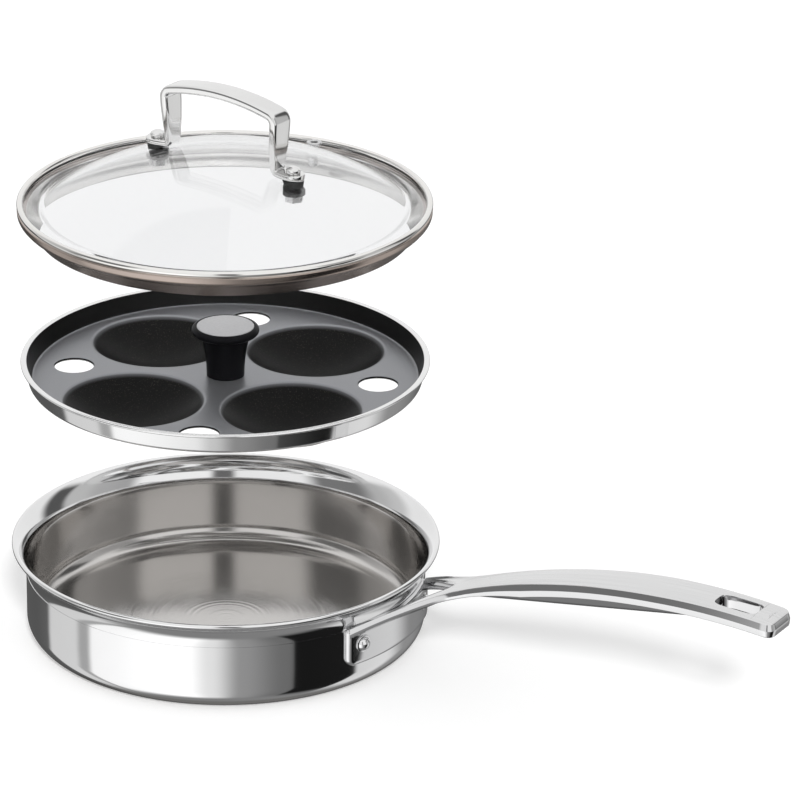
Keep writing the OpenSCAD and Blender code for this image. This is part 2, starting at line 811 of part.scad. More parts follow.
pan_body();
pan_handle();
handle_rivet_left();
handle_rivet_right();
tray_insert();
knob_grip();
knob_top_disc();
knob_washer();
knob_screw();
lid_glass();
lid_rim();
lid_handle();
lid_bolt_left();
lid_bolt_right();
lid_gasket_left();
lid_gasket_right();
lid_seal_left();
lid_seal_right();
lid_nut_left();
lid_nut_right();
steam_vent();
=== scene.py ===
"""Egg poacher pan: a forked-handle steel pan, a non-stick tray of four egg cups and a domed glass lid."""

import math

import bmesh
import bpy
import numpy as np
from mathutils import Matrix, Vector
from mathutils.geometry import delaunay_2d_cdt


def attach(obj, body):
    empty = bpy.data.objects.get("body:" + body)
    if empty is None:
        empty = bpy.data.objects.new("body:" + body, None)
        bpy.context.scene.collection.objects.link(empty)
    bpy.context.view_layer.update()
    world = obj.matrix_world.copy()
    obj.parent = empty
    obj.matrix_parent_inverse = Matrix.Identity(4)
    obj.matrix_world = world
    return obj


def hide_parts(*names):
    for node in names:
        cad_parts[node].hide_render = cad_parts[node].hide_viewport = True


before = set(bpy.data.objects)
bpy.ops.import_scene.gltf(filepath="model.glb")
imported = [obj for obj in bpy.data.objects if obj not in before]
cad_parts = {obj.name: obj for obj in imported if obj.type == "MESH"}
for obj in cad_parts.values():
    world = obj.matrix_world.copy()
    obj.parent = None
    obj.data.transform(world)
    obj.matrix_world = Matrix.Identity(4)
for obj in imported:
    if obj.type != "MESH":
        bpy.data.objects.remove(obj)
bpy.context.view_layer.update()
scene = bpy.context.scene
scene.view_settings.view_transform = "Standard"

# ---- Camera ----
# A long lens looks down at the object from the front left of its handle, with the
# photograph's slight roll. The three directions are the camera's own axes in the frame.
CAMERA_PLACE = (1.2830, -1.9634, 1.0960)
CAMERA_RIGHT = Vector((0.8548, 0.5188, 0.0107))
CAMERA_UP = Vector((-0.2067, 0.3215, 0.9241))
CAMERA_BACK = Vector((0.4760, -0.7921, 0.3821))
FOCAL_LENGTH, SENSOR_WIDTH = 225, 36
lens = bpy.data.cameras.new("camera")
lens.sensor_width = SENSOR_WIDTH
lens.lens = FOCAL_LENGTH
lens.clip_start, lens.clip_end = 0.1, 60
camera = bpy.data.objects.new("camera", lens)
scene.collection.objects.link(camera)
stand = Matrix((CAMERA_RIGHT, CAMERA_UP, CAMERA_BACK)).transposed().to_4x4()
stand.translation = CAMERA_PLACE
camera.matrix_world = stand
scene.camera = camera


# ---- Studio ----
# A white sweep, a soft sun lamp from near the camera, and round the object white panels and
# black cards for polished steel to reflect. Only reflections see the panels.
class Value:
    """A shader socket whose + - * / with numbers or other sockets add Math nodes."""

    def __init__(self, paint, socket):
        self.paint, self.socket = paint, socket

    def __add__(self, other):
        return self.paint.add("ShaderNodeMath", {"operation": "ADD"}, {0: self, 1: other})

    def __sub__(self, other):
        return self.paint.add("ShaderNodeMath", {"operation": "SUBTRACT"}, {0: self, 1: other})

    def __rsub__(self, other):
        return self.paint.add("ShaderNodeMath", {"operation": "SUBTRACT"}, {0: other, 1: self})

    def __mul__(self, other):
        return self.paint.add("ShaderNodeMath", {"operation": "MULTIPLY"}, {0: self, 1: other})

    def __truediv__(self, other):
        return self.paint.add("ShaderNodeMath", {"operation": "DIVIDE"}, {0: self, 1: other})

    __radd__, __rmul__ = __add__, __mul__


class Paint:
    """A material or world under construction. add() makes one node and gives back its output."""

    def __init__(self, owner, **fixed):
        owner.use_nodes = True
        self.tree, self.owner = owner.node_tree, owner
        self.shader = self.tree.nodes.get("Principled BSDF")
        for socket, value in fixed.items():
            self.shader.inputs[socket.replace("_", " ")].default_value = value

    def add(self, kind, settings=None, inputs=None, output=0):
        node = self.tree.nodes.new(kind)
        for name, value in (settings or {}).items():
            if name == "stops":
                ramp = node.color_ramp
                ramp.interpolation = "EASE"
                while len(ramp.elements) < len(value):
                    ramp.elements.new(0.5)
                for element, (place, level) in zip(ramp.elements, value):
                    element.position = place
                    element.color = (level, level, level, 1)
            else:
                setattr(node, name, value)
        for name, value in (inputs or {}).items():
            if isinstance(value, Value):
                self.tree.links.new(value.socket, node.inputs[name])
            else:
                node.inputs[name].default_value = value
        return Value(self, node.outputs[output])

    def feed(self, **values):
        """Links values to the main shader's sockets."""
        for socket, value in values.items():
            self.tree.links.new(value.socket, self.shader.inputs[socket.replace("_", " ")])

    def larger(self, first, second):
        return self.add("ShaderNodeMath", {"operation": "MAXIMUM"}, {0: first, 1: second})

    def dot(self, first, second):
        """How far the first vector reaches along the second, times the second's length."""
        return self.add("ShaderNodeVectorMath", {"operation": "DOT_PRODUCT"}, {0: first, 1: second}, "Value")

    def step(self, value, low, high):
        """0 below low, 1 above high, and a smooth rise between them. low may be the greater."""
        return self.add(
            "ShaderNodeMapRange",
            {"interpolation_type": "SMOOTHSTEP"},
            {"Value": value, "From Min": low, "From Max": high},
        )

    def mix(self, share, first, second):
        """A colour between first and second. The Mix node's colour sockets are 6 and 7 in, 2 out."""
        return self.add("ShaderNodeMix", {"data_type": "RGBA"}, {0: share, 6: first, 7: second}, 2)

    def place(self):
        """The point's x, y, z in the frame, in metres."""
        point = self.add("ShaderNodeTexCoord", output="Object")
        return [self.add("ShaderNodeSeparateXYZ", None, {0: point}, axis) for axis in "XYZ"]


PLAIN_LIGHT = 0.72
WHITE = (1.0, 1.0, 1.0, 1)
# the way round, as a share of a turn, and how bright the studio is there. 0 and 1 are where the
# camera looks, 0.5 is behind it. One list is for below the horizon, the other for level and above.
SWEEP_BELOW = (
    (0.0, 0.10), (0.11, 0.10), (0.155, 0.12), (0.17, 0.72), (0.235, 0.74), (0.25, 0.42), (0.262, 0.42),
    (0.275, 1.1), (0.44, 1.3), (0.48, 0.9), (0.53, 0.32), (0.60, 0.17), (0.612, 0.16), (0.617, 0.01),
    (0.725, 0.012), (0.735, 0.75), (0.80, 0.8), (0.86, 0.3), (1.0, 0.10),
)
PANELS_LEVEL = (
    (0.0, 0.96), (0.14, 0.9), (0.18, 0.6), (0.23, 0.5), (0.28, 0.2), (0.345, 0.2), (0.385, 0.95),
    (0.485, 0.95), (0.50, 0.15), (0.52, 0.15), (0.535, 1.0), (0.64, 1.0), (0.67, 0.4), (0.72, 0.45),
    (0.76, 0.55), (0.79, 0.55), (0.81, 0.1), (0.84, 0.1), (0.87, 0.9), (1.0, 0.96),
)
# heights, as the z of a direction, between which one part of the studio passes into the next
STEEP_BELOW, HORIZON, CEILING = (-0.76, -0.93), (-0.17, -0.12), (0.60, 0.74)
STEEP_GREY, GLASS_SURROUND, GLASS_CARD = (0.24, 0.24, 0.24, 1), (0.95, 0.95, 0.95, 1), (0.2, 0.22, 0.24, 1)
CARD_TURN, CARD_HEIGHT = (0.30, 0.22), (0.80, 0.84)
world = bpy.data.worlds.new("studio")
scene.world = world
studio = Paint(world)
direction = studio.add("ShaderNodeTexCoord", output="Generated")
heading = Vector((CAMERA_BACK.x, CAMERA_BACK.y, 0)).normalized()
aside = Vector((-heading.y, heading.x, 0))
height = studio.add("ShaderNodeSeparateXYZ", None, {0: direction}, "Z")
angle_round = studio.add(
    "ShaderNodeMath", {"operation": "ARCTAN2"}, {0: studio.dot(direction, aside), 1: studio.dot(direction, heading)}
)
turn = angle_round / (2 * math.pi) + 0.5
below = studio.add("ShaderNodeValToRGB", {"stops": SWEEP_BELOW}, {0: turn})
level = studio.add("ShaderNodeValToRGB", {"stops": PANELS_LEVEL}, {0: turn})
below = studio.mix(studio.step(height, *STEEP_BELOW), below, STEEP_GREY)
seen = studio.mix(studio.step(height, *HORIZON), below, level)
seen = studio.mix(studio.step(height, *CEILING), seen, WHITE)
# clear glass, which sharp rays pass, shows a plain white surround with one grey card high up
card = studio.step(turn, *CARD_TURN) * studio.step(height, *CARD_HEIGHT)
ray_kinds = ("Singular", "Glossy", "Camera", "Transmission")
sharp, glossy, direct, through = [studio.add("ShaderNodeLightPath", output="Is %s Ray" % kind) for kind in ray_kinds]
seen = studio.mix(sharp, seen, studio.mix(card, GLASS_SURROUND, GLASS_CARD))
shown = studio.mix(glossy, (PLAIN_LIGHT, PLAIN_LIGHT, PLAIN_LIGHT, 1), seen)
shown = studio.mix(studio.larger(direct, through), shown, WHITE)
studio.tree.links.new(shown.socket, studio.tree.nodes["Background"].inputs["Color"])

LAMP_STRENGTH, LAMP_SPREAD, LAMP_FROM = 1.75, 0.14, Vector((0.96, -1.23, 1.09))
lamp = bpy.data.lights.new("soft_lamp", "SUN")
lamp.energy, lamp.angle = LAMP_STRENGTH, LAMP_SPREAD
lamp_object = bpy.data.objects.new("soft_lamp", lamp)
lamp_object.location = LAMP_FROM
lamp_object.rotation_euler = (-LAMP_FROM).to_track_quat("-Z", "Y").to_euler()
lamp_object.visible_glossy = False
# only the pan and its handle cast the lamp's shadow, so that the raised tray and lid leave the floor clear
shadow_casters = bpy.data.collections.new("shadow_casters")
lamp_object.light_linking.blocker_collection = shadow_casters
scene.collection.objects.link(lamp_object)

FLOOR_HALF, GLOW_DIRECT, GLOW_THROUGH = 14.0, 0.27, 0.15
floor_mesh = bpy.data.meshes.new("floor")
floor_corners = [(x * FLOOR_HALF, y * FLOOR_HALF, 0) for x, y in ((-1, -1), (1, -1), (1, 1), (-1, 1))]
floor_mesh.from_pydata(floor_corners, [], [(0, 1, 2, 3)])
floor = bpy.data.objects.new("floor", floor_mesh)
scene.collection.objects.link(floor)
floor.visible_glossy = False
ground = Paint(bpy.data.materials.new("white_sweep"), Roughness=1.0, Specular_IOR_Level=0.0)
ground.shader.inputs["Base Color"].default_value = (0.8, 0.8, 0.8, 1)
direct, through = [ground.add("ShaderNodeLightPath", output="Is %s Ray" % kind) for kind in ("Camera", "Transmission")]
glow = ground.larger(direct * GLOW_DIRECT, through * GLOW_THROUGH)
white = ground.add("ShaderNodeEmission", None, {"Strength": glow})
both = ground.add("ShaderNodeAddShader", None, {0: Value(ground, ground.shader.outputs[0]), 1: white})
ground.tree.links.new(both.socket, ground.tree.nodes["Material Output"].inputs["Surface"])
floor_mesh.materials.append(ground.owner)


# ---- Pan ----
# A pressed steel pan: thick flat base, straight wall, flared pouring lip with a
# rolled edge. The outside is mirror polished, the inside is turned to fine circular grooves.
MM = 0.001
SLICES = 320


def arc(centre, radius, start, end, steps=12):
    """Points centre + radius * (cos, sin) of the angle, which goes evenly from start to end in degrees."""
    angle = np.radians(np.linspace(start, end, steps))
    return np.c_[centre[0] + radius * np.cos(angle), centre[1] + radius * np.sin(angle)]


def outline(corners, steps=6, closed=True):
    """Corners (x, y, radius) joined by lines. A corner's arc has its centre on the bisector,
    radius / sin(half the corner's angle) from it, and sweeps evenly between the two touch points."""
    path = []
    for i, (x, y, radius) in enumerate(corners):
        corner = np.array((x, y), float)
        if radius == 0 or (not closed and i in (0, len(corners) - 1)):
            path.append(corner[None])
            continue
        back = np.array(corners[i - 1][:2], float) - corner
        on = np.array(corners[(i + 1) % len(corners)][:2], float) - corner
        back, on = back / np.linalg.norm(back), on / np.linalg.norm(on)
        half = 0.5 * math.acos(np.clip(back @ on, -1, 1))
        centre = corner + (back + on) / np.linalg.norm(back + on) * radius / math.sin(half)
        first, last = corner + back * radius / math.tan(half), corner + on * radius / math.tan(half)
        sweep, share = math.pi - 2 * half, np.linspace(0, 1, steps)[:, None]
        swept = (first - centre) * np.sin((1 - share) * sweep) + (last - centre) * np.sin(share * sweep)
        path.append(centre + swept / math.sin(sweep))
    return np.vstack(path)


def finished(name, points, faces, body, slot, nodes, crease=35, attributes=None):
    """One piece from points in mm: doubles merged, faces turned outwards, smooth below the crease
    angle in degrees, riding on its body in place of its CAD nodes."""
    mesh = bpy.data.meshes.new(name)
    mesh.from_pydata((np.asarray(points, float) * MM).tolist(), [], [list(map(int, f)) for f in faces])
    for key, values in (attributes or {}).items():
        mesh.attributes.new(key, "FLOAT", "POINT").data.foreach_set("value", np.asarray(values, np.float32))
    work = bmesh.new()
    work.from_mesh(mesh)
    bmesh.ops.remove_doubles(work, verts=work.verts, dist=2e-6)
    bmesh.ops.dissolve_degenerate(work, edges=work.edges, dist=1e-6)
    bmesh.ops.recalc_face_normals(work, faces=work.faces)
    work.to_mesh(mesh)
    work.free()
    mesh.polygons.foreach_set("use_smooth", [True] * len(mesh.polygons))
    mesh.set_sharp_from_angle(angle=math.radians(crease))
    piece = bpy.data.objects.new(name, mesh)
    scene.collection.objects.link(piece)
    if body == "pan":
        shadow_casters.objects.link(piece)
    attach(piece, body)
    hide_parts(*nodes)
    return piece


def net(rows, columns, wrap_rows=False, wrap_columns=False, start=0):
    """The four-cornered faces of a grid of rows x columns points, joined across its ends where it wraps."""
    row = np.arange(rows if wrap_rows else rows - 1)[:, None]
    column = np.arange(columns if wrap_columns else columns - 1)[None, :]
    near, far = row * columns, (row + 1) % rows * columns
    left, right = column, (column + 1) % columns
    return start + np.stack([near + left, near + right, far + right, far + left], -1).reshape(-1, 4)


def turned(profile, slices=SLICES):
    """A closed profile (r, z) carried round the axis: the point at angle a is (r cos a, r sin a, z)."""
    profile = np.asarray(profile, float)
    angle = np.linspace(0, 2 * math.pi, slices, endpoint=False)
    x, y = np.outer(profile[:, 0], np.cos(angle)), np.outer(profile[:, 0], np.sin(angle))
    z = np.repeat(profile[:, 1:2], slices, 1)
    return np.stack([x, y, z], -1).reshape(-1, 3), net(len(profile), slices, True, True)


PAN_INNER, PAN_OUTER, BASE_T = 100.0, 102.5, 4.5
LIP_RING, LIP_BEND, WALL_TOP, LIP_ANGLE = 117.25, 16.0, 36.0, 56.0
HALF_SHEET = 1.25
lip_way = np.array((-math.cos(math.radians(LIP_ANGLE)), math.sin(math.radians(LIP_ANGLE))))
lip_edge = np.array((LIP_RING, WALL_TOP)) + LIP_BEND * lip_way
# up the outside from the middle of the base, with the thin crease line under the flare, round the lip and down inside
pan_profile = np.vstack([
    [(0, 0.6), (60, 0.6), (88.2, 0.6), (88.8, 0)],
    arc((92, 10.5), 10.5, -90, 0, 20),
    [(PAN_OUTER, 20), (PAN_OUTER, 30), (PAN_OUTER, 35.2), (102.36, 35.28), (102.2, 35.34)],
    [(102.2, 35.76), (102.36, 35.84), (PAN_OUTER, 35.92)],
    arc((LIP_RING, WALL_TOP), LIP_BEND - HALF_SHEET, 179.5, 180 - LIP_ANGLE, 24),
    arc(lip_edge, HALF_SHEET, -LIP_ANGLE, 180 - LIP_ANGLE, 14)[1:-1],
    arc((LIP_RING, WALL_TOP), LIP_BEND + HALF_SHEET, 180 - LIP_ANGLE, 180, 28),
    [(PAN_INNER, 28), (PAN_INNER, 20)],
    arc((91, 13.5), 9, 0, -90, 16),
    [(84, BASE_T), (60, BASE_T), (30, BASE_T), (10, BASE_T), (0, BASE_T)],
])
pan = finished("pan", *turned(pan_profile), "pan", "pan_steel", ["pan_body"], 40)


def from_axis(paint, x, y):
    """The distance from the upright axis: the length of (x, y)."""
    flat = paint.add("ShaderNodeCombineXYZ", None, {0: x, 1: y})
    return paint.add("ShaderNodeVectorMath", {"operation": "LENGTH"}, {0: flat}, "Value")


def grooved(paint, x, y, z, pitch, depth):
    """The normal of a turned surface: noise of radius + height tilts it along the profile, as
    fine tool marks do. A second noise, 0.13 times as fine and half as strong, varies them."""
    run = from_axis(paint, x, y) + z
    marks = {"noise_dimensions": "1D"}
    fine = paint.add("ShaderNodeTexNoise", marks, {"W": run * (1 / pitch), "Scale": 1.0, "Detail": 3.0})
    broad = paint.add("ShaderNodeTexNoise", marks, {"W": run * (0.13 / pitch), "Scale": 1.0, "Detail": 1.0})
    slope = ((fine - 0.5) + (broad - 0.5) * 0.5) * depth
    normal = paint.add("ShaderNodeNewGeometry", output="Normal")
    round_way = paint.add("ShaderNodeCombineXYZ", None, {0: y * -1.0, 1: x})
    round_way = paint.add("ShaderNodeVectorMath", {"operation": "NORMALIZE"}, {0: round_way})
    along = paint.add("ShaderNodeVectorMath", {"operation": "CROSS_PRODUCT"}, {0: normal, 1: round_way})
    tilt = paint.add("ShaderNodeVectorMath", {"operation": "SCALE"}, {0: along, "Scale": slope})
    total = paint.add("ShaderNodeVectorMath", {"operation": "ADD"}, {0: normal, 1: tilt})
    return paint.add("ShaderNodeVectorMath", {"operation": "NORMALIZE"}, {0: total})


def faint_noise(paint, scale):
    """Soft cloudy noise between 0 and 1 over the piece, with scale cells to the metre."""
    point = paint.add("ShaderNodeTexCoord", output="Object")
    return paint.add("ShaderNodeTexNoise", None, {"Vector": point, "Scale": scale, "Detail": 2.0})


GROOVE_PITCH, FLOOR_GROOVES, WALL_GROOVES = 0.0016, 0.085, 0.006
TURNED_STEEL, PAN_DULL, PAN_BRIGHT = (0.60, 0.585, 0.57, 1), (0.80, 0.80, 0.80, 1), (0.86, 0.86, 0.865, 1)
pan_paint = Paint(bpy.data.materials.new("pan_steel"), Metallic=1.0)
x, y, z = pan_paint.place()
# polished outside the wall's middle and above the wall's top; turned on the wall and floor within
outside = pan_paint.step(from_axis(pan_paint, x, y), (PAN_INNER + 0.6) * MM, (PAN_INNER + 1.6) * MM)
above = pan_paint.step(z, (WALL_TOP + 0.2) * MM, (WALL_TOP + 2.5) * MM)
polished = pan_paint.larger(outside, above)
on_floor = pan_paint.step(z, (BASE_T + 5.5) * MM, (BASE_T + 0.5) * MM)
grooves = grooved(pan_paint, x, y, z, GROOVE_PITCH, (1 - polished) * (on_floor * FLOOR_GROOVES + WALL_GROOVES))
handled = faint_noise(pan_paint, 35.0)
pan_paint.feed(
    Base_Color=pan_paint.mix(polished, TURNED_STEEL, pan_paint.mix(handled, PAN_DULL, PAN_BRIGHT)),
    Roughness=(1 - polished) * 0.07 + 0.06 + handled * 0.03,
    Normal=grooves,
)
pan.data.materials.append(pan_paint.owner)


# ---- Pan handle ----
# A cast steel handle with satin top and polished edges: an arched grip with a rounded belly,
# a hang slot near the tip, and a fork whose two arms run into a bracket plate on the wall.
ARCH_R, CROWN_X, CROWN_Z, TIP_X = 362.0, 280.0, 86.0, 319.0
EDGE_T, FORK_R, FORK_X, FORK_Z = 7.3, 207.0, 214.9, -139.7
BELLY_R, BELLY_Z, BELLY_SLOPE = 12.0, 55.2, math.radians(9.2)
SLOT_X, SLOT_L, SLOT_W, TIP_ROUND = 295.5, 23.0, 13.0, 5
CROWN_DROP, BELLY_FROM, BELLY_END = 0.5, 154, 302
TOP_FACE_SPLITS, BOTTOM_SPLITS = 9, 12


def flowing(points, counts):
    """A smooth path through points: between two of them it is the Catmull-Rom cubic of the four nearest."""
    points = np.asarray(points, float)
    padded = np.vstack([2 * points[0] - points[1], points, 2 * points[-1] - points[-2]])
    path = []
    for i, count in enumerate(counts):
        a, b, c, d = padded[i:i + 4]
        t = np.linspace(0, 1, count, endpoint=False)[:, None]
        square, cube = 2 * a - 5 * b + 4 * c - d, 3 * b - a - 3 * c + d
        path.append(0.5 * (2 * b + (c - a) * t + square * t**2 + cube * t**3))
    return np.vstack(path + [points[-1:]])


NECK_X, NECK_HALF, WIDEST_X, WIDEST_HALF = 156, 10.9, 256, 13.1
SWELL, SWELL_TURN, TAPER, TOWARDS_FORK = 1.1, 1.8, 0.018, 0.0072


def half_width(x):
    """The grip's half width: widening as a square from the neck to the fork, a half cosine wave
    from the neck to the widest place, then a slight straight taper to the tip."""
    swell = NECK_HALF + SWELL * (1 - np.cos(np.radians(SWELL_TURN * (x - NECK_X))))
    to_fork = NECK_HALF + TOWARDS_FORK * (NECK_X - x) ** 2
    return np.where(x < NECK_X, to_fork, np.where(x < WIDEST_X, swell, WIDEST_HALF - TAPER * (x - WIDEST_X)))


def arch_height(x, radius=ARCH_R):
    """Height at x of a circle of that radius about the arch's centre."""
    return CROWN_Z - ARCH_R + np.sqrt(radius**2 - (x - CROWN_X) ** 2)


def underside(x):
    """Height of the grip's lower edge: one thickness under the arch, or the fork's own tighter
    arch where that is higher, near the pan."""
    fork = FORK_Z + np.sqrt(np.maximum(FORK_R**2 - (x - FORK_X) ** 2, 1.0))
    return np.where(x < 180, np.maximum(arch_height(x, ARCH_R - EDGE_T), fork), arch_height(x, ARCH_R - EDGE_T))


# inner and outer line of one half, seen from above, from the plate to the middle of the tip
fork_counts = [8, 14, 14, 14, 10, 12]
fork_inner = flowing(
    [(99.3, 31.6), (101.5, 29.7), (112, 20.5), (124, 10.7), (133, 3.4), (136.4, 0.0), (150, 0)], fork_counts
)
fork_outer = flowing(
    [(98.4, 37.9), (104, 34.2), (116, 26.4), (130, 17.6), (137.3, 13.9), (142, 12.5), (150, 11.1)], fork_counts
)
fork_inner[:, 1] = np.maximum(fork_inner[:, 1], 0)
grip_x = np.linspace(150, SLOT_X - SLOT_L / 2 - 0.2, 72)[1:]
slot_turn = np.linspace(math.pi, 0, 33)
slot_dx = np.sign(np.cos(slot_turn)) * np.abs(np.cos(slot_turn)) ** 0.5 * SLOT_L / 2
slot_y = np.sin(slot_turn).clip(0, 1) ** 0.5 * SLOT_W / 2
slot_y[[0, -1]] = 0
past_x = np.linspace(SLOT_X + SLOT_L / 2 + 0.3, TIP_X - TIP_ROUND, 5)
tip_half = float(half_width(np.array(TIP_X))) - TIP_ROUND
bend = np.radians(np.linspace(0, 90, 9))[1:]
end_y = np.linspace(tip_half, 0, 8)[1:]
inner = np.vstack([
    fork_inner, np.c_[grip_x, 0 * grip_x], np.c_[SLOT_X + slot_dx, slot_y], np.c_[past_x, 0 * past_x],
    np.c_[TIP_X - TIP_ROUND - 1.5 * np.cos(bend), 0 * bend], np.c_[TIP_X - TIP_ROUND + 0 * end_y, 0 * end_y],
])
outer = np.vstack([
    fork_outer, np.c_[grip_x, half_width(grip_x)], np.c_[SLOT_X + slot_dx, half_width(SLOT_X + slot_dx)],
    np.c_[past_x, half_width(past_x)],
    np.c_[TIP_X - TIP_ROUND + TIP_ROUND * np.sin(bend), tip_half + TIP_ROUND * np.cos(bend)],
    np.c_[TIP_X + 0 * end_y, end_y],
])
along = np.gradient(outer, axis=0)
outward = np.c_[-along[:, 1], along[:, 0]] / np.linalg.norm(along, axis=1)[:, None]
outward = outward * np.sign(np.sum(outward * (outer - inner), 1) + 1e-9)[:, None]


def handle_layers():
    """Rows of points across one half: up the inner wall, over the crowned top, down the two-faceted
    side, in under the ledge and along the belly, each at its own inset from the outer line."""
    side = arch_height(outer[:, 0]) - underside(outer[:, 0])
    rows = []

    def row(plan, z):
        rows.append(np.c_[plan, z])

    round_in = np.minimum(0.7, np.maximum(inner[:, 1], 0) * 0.4)
    across_half = np.maximum(np.linalg.norm(outer - inner, axis=1), 1e-9)
    toward = (outer - inner) / across_half[:, None]
    top_in = arch_height(inner[:, 0])
    low_in = underside(inner[:, 0])
    for share, lift in ((0.0, 1.0), (0.13, 0.5), (0.5, 0.13), (1.0, 0.0)):
        row(inner + toward * (round_in * share)[:, None], top_in - round_in * lift)
    upper = outer - outward * 1.35
    for t in np.linspace(0, 1, TOP_FACE_SPLITS)[1:]:
        plan = inner + toward * round_in[:, None]
        plan = plan + t * (upper - plan)
        row(plan, arch_height(plan[:, 0]) - CROWN_DROP * t**2)
    edge_top = arch_height(outer[:, 0]) - CROWN_DROP
    for inset, drop in ((1.12, 0.03), (0.98, 0.10), (0.88, 0.22)):
        row(outer - outward * inset, edge_top - drop * np.minimum(1, side / 5))
    facet = 0.42 * side
    row(outer - outward * 0.08, edge_top - facet)
    row(outer, edge_top - facet - 0.25)
    low = underside(outer[:, 0])
    row(outer - outward * 0.05, low + 0.35 * side)
    for inset, lift in ((0.25, 0.7), (0.38, 0.32), (0.66, 0.09), (1.1, 0.0)):
        row(outer - outward * inset, low + lift)
    # the ledge, then the belly, whose own circle meets the ledge where both have one height
    bottom = BELLY_Z + (inner[:, 0] - BELLY_FROM) * math.tan(BELLY_SLOPE)
    middle = bottom + BELLY_R / math.cos(BELLY_SLOPE)
    reach = BELLY_R**2 - ((low_in - middle) * math.cos(BELLY_SLOPE)) ** 2
    has_belly = (reach > 0) & (bottom < low_in) & (inner[:, 0] < BELLY_END)
    half = np.where(has_belly, np.sqrt(np.maximum(reach, 0)), 0)
    ledge_share = np.clip((half - inner[:, 1]) / across_half, 0, 0.93)
    meet = inner + (outer - inner) * ledge_share[:, None]
    row(meet + (outer - outward * 1.1 - meet) * 0.5, underside(meet[:, 0]))
    for t in np.linspace(0, 1, BOTTOM_SPLITS):
        plan = meet + (inner + toward * round_in[:, None] - meet) * t
        hang = np.sqrt(np.maximum(BELLY_R**2 - np.minimum(plan[:, 1], BELLY_R) ** 2, 0))
        belly = middle - hang / math.cos(BELLY_SLOPE)
        row(plan, np.where(has_belly, np.minimum(underside(plan[:, 0]), belly), underside(plan[:, 0])))
    last = rows[-1][:, 2]
    for share, lift in ((0.5, 0.13), (0.13, 0.5), (0.0, 1.0)):
        row(inner + toward * (round_in * share)[:, None], last + round_in * lift)
    return np.stack(rows, 1)


half_grid = handle_layers()
stations, layers = half_grid.shape[:2]
faces = net(stations, layers, False, True)
on_middle = (half_grid.reshape(-1, 3)[faces][:, :, 1] < 1e-6).all(1)
faces = faces[~on_middle]
right_half = half_grid.reshape(-1, 3) * (1, -1, 1)
count = stations * layers
arm_ends = [list(range(layers)), [count + i for i in range(layers)]]
handle_points = np.vstack([half_grid.reshape(-1, 3), right_half])
handle_faces = faces.tolist() + (faces[:, ::-1] + count).tolist() + arm_ends

# the plate: a slab bent round the wall, with rounded corners and a bright bevel all round
PLATE_R_OUT, PLATE_LOW, PLATE_TOP, PLATE_HALF = 105.55, 15.5, 35.9, math.radians(21.5)
PLATE_ROUND, PLATE_TOP_ROUND, SPINE_IN, LONG_SIDE = 5.0, 1.6, 9, 20
plate_reach = PLATE_HALF * PLATE_R_OUT
corner_list = [
    (-plate_reach, PLATE_LOW, PLATE_ROUND), (plate_reach, PLATE_LOW, PLATE_ROUND),
    (plate_reach, PLATE_TOP, PLATE_TOP_ROUND), (-plate_reach, PLATE_TOP, PLATE_TOP_ROUND),
]
corner_line = outline(corner_list, 10)
# long sides get points of their own, so that they bend with the wall
spans = []
for here, there in zip(corner_line, np.roll(corner_line, -1, 0)):
    splits = 26 if abs(there[0] - here[0]) > LONG_SIDE else 2
    spans.append(np.linspace(here, there, splits, endpoint=False))
edge_line = np.vstack(spans)
spine_x = np.clip(edge_line[:, 0], -plate_reach + SPINE_IN, plate_reach - SPINE_IN)
spine = np.c_[spine_x, np.full(len(edge_line), (PLATE_LOW + PLATE_TOP) / 2)]
step_on = np.roll(edge_line, -1, 0) - np.roll(edge_line, 1, 0)
edge_out = np.c_[step_on[:, 1], -step_on[:, 0]] / np.linalg.norm(step_on, axis=1)[:, None]
# (inset from the edge, depth below the face): the face, the bevel, the side and the back, closed on the spine
plate_section = (
    (None, 0), (3.0, 0), (2.2, 0.0), (1.5, 0.22), (0.7, 0.85), (0.22, 1.35),
    (0.0, 1.9), (0.0, 2.6), (0.25, 2.98), (1.5, 2.98), (None, 2.98),
)
plate_rows = []
for inset, depth in plate_section:
    flat = spine if inset is None else edge_line - edge_out * inset
    turn_angle = flat[:, 0] / PLATE_R_OUT
    reach_out = PLATE_R_OUT - depth
    plate_rows.append(np.c_[reach_out * np.cos(turn_angle), reach_out * np.sin(turn_angle), flat[:, 1]])
plate_grid = np.stack(plate_rows, 0)
plate_faces = net(plate_grid.shape[0], plate_grid.shape[1], False, True, start=len(handle_points))
handle = finished(
    "forked_handle", np.vstack([handle_points, plate_grid.reshape(-1, 3)]), handle_faces + plate_faces.tolist(),
    "pan", "handle_steel", ["pan_handle"], 24,
)
SATIN_FROM, SATIN_FULL = 0.118, 0.150
SIDE_STEEL, TOP_DULL, TOP_BRIGHT = (0.72, 0.72, 0.725, 1), (0.66, 0.66, 0.665, 1), (0.78, 0.78, 0.78, 1)
handle_paint = Paint(bpy.data.materials.new("handle_steel"), Metallic=1.0)
x, y, z = handle_paint.place()
normal = handle_paint.add("ShaderNodeNewGeometry", output="Normal")
normal_up = handle_paint.add("ShaderNodeSeparateXYZ", None, {0: normal}, "Z")
satin = handle_paint.step(normal_up, 0.70, 0.86) * handle_paint.step(x, SATIN_FROM, SATIN_FULL)
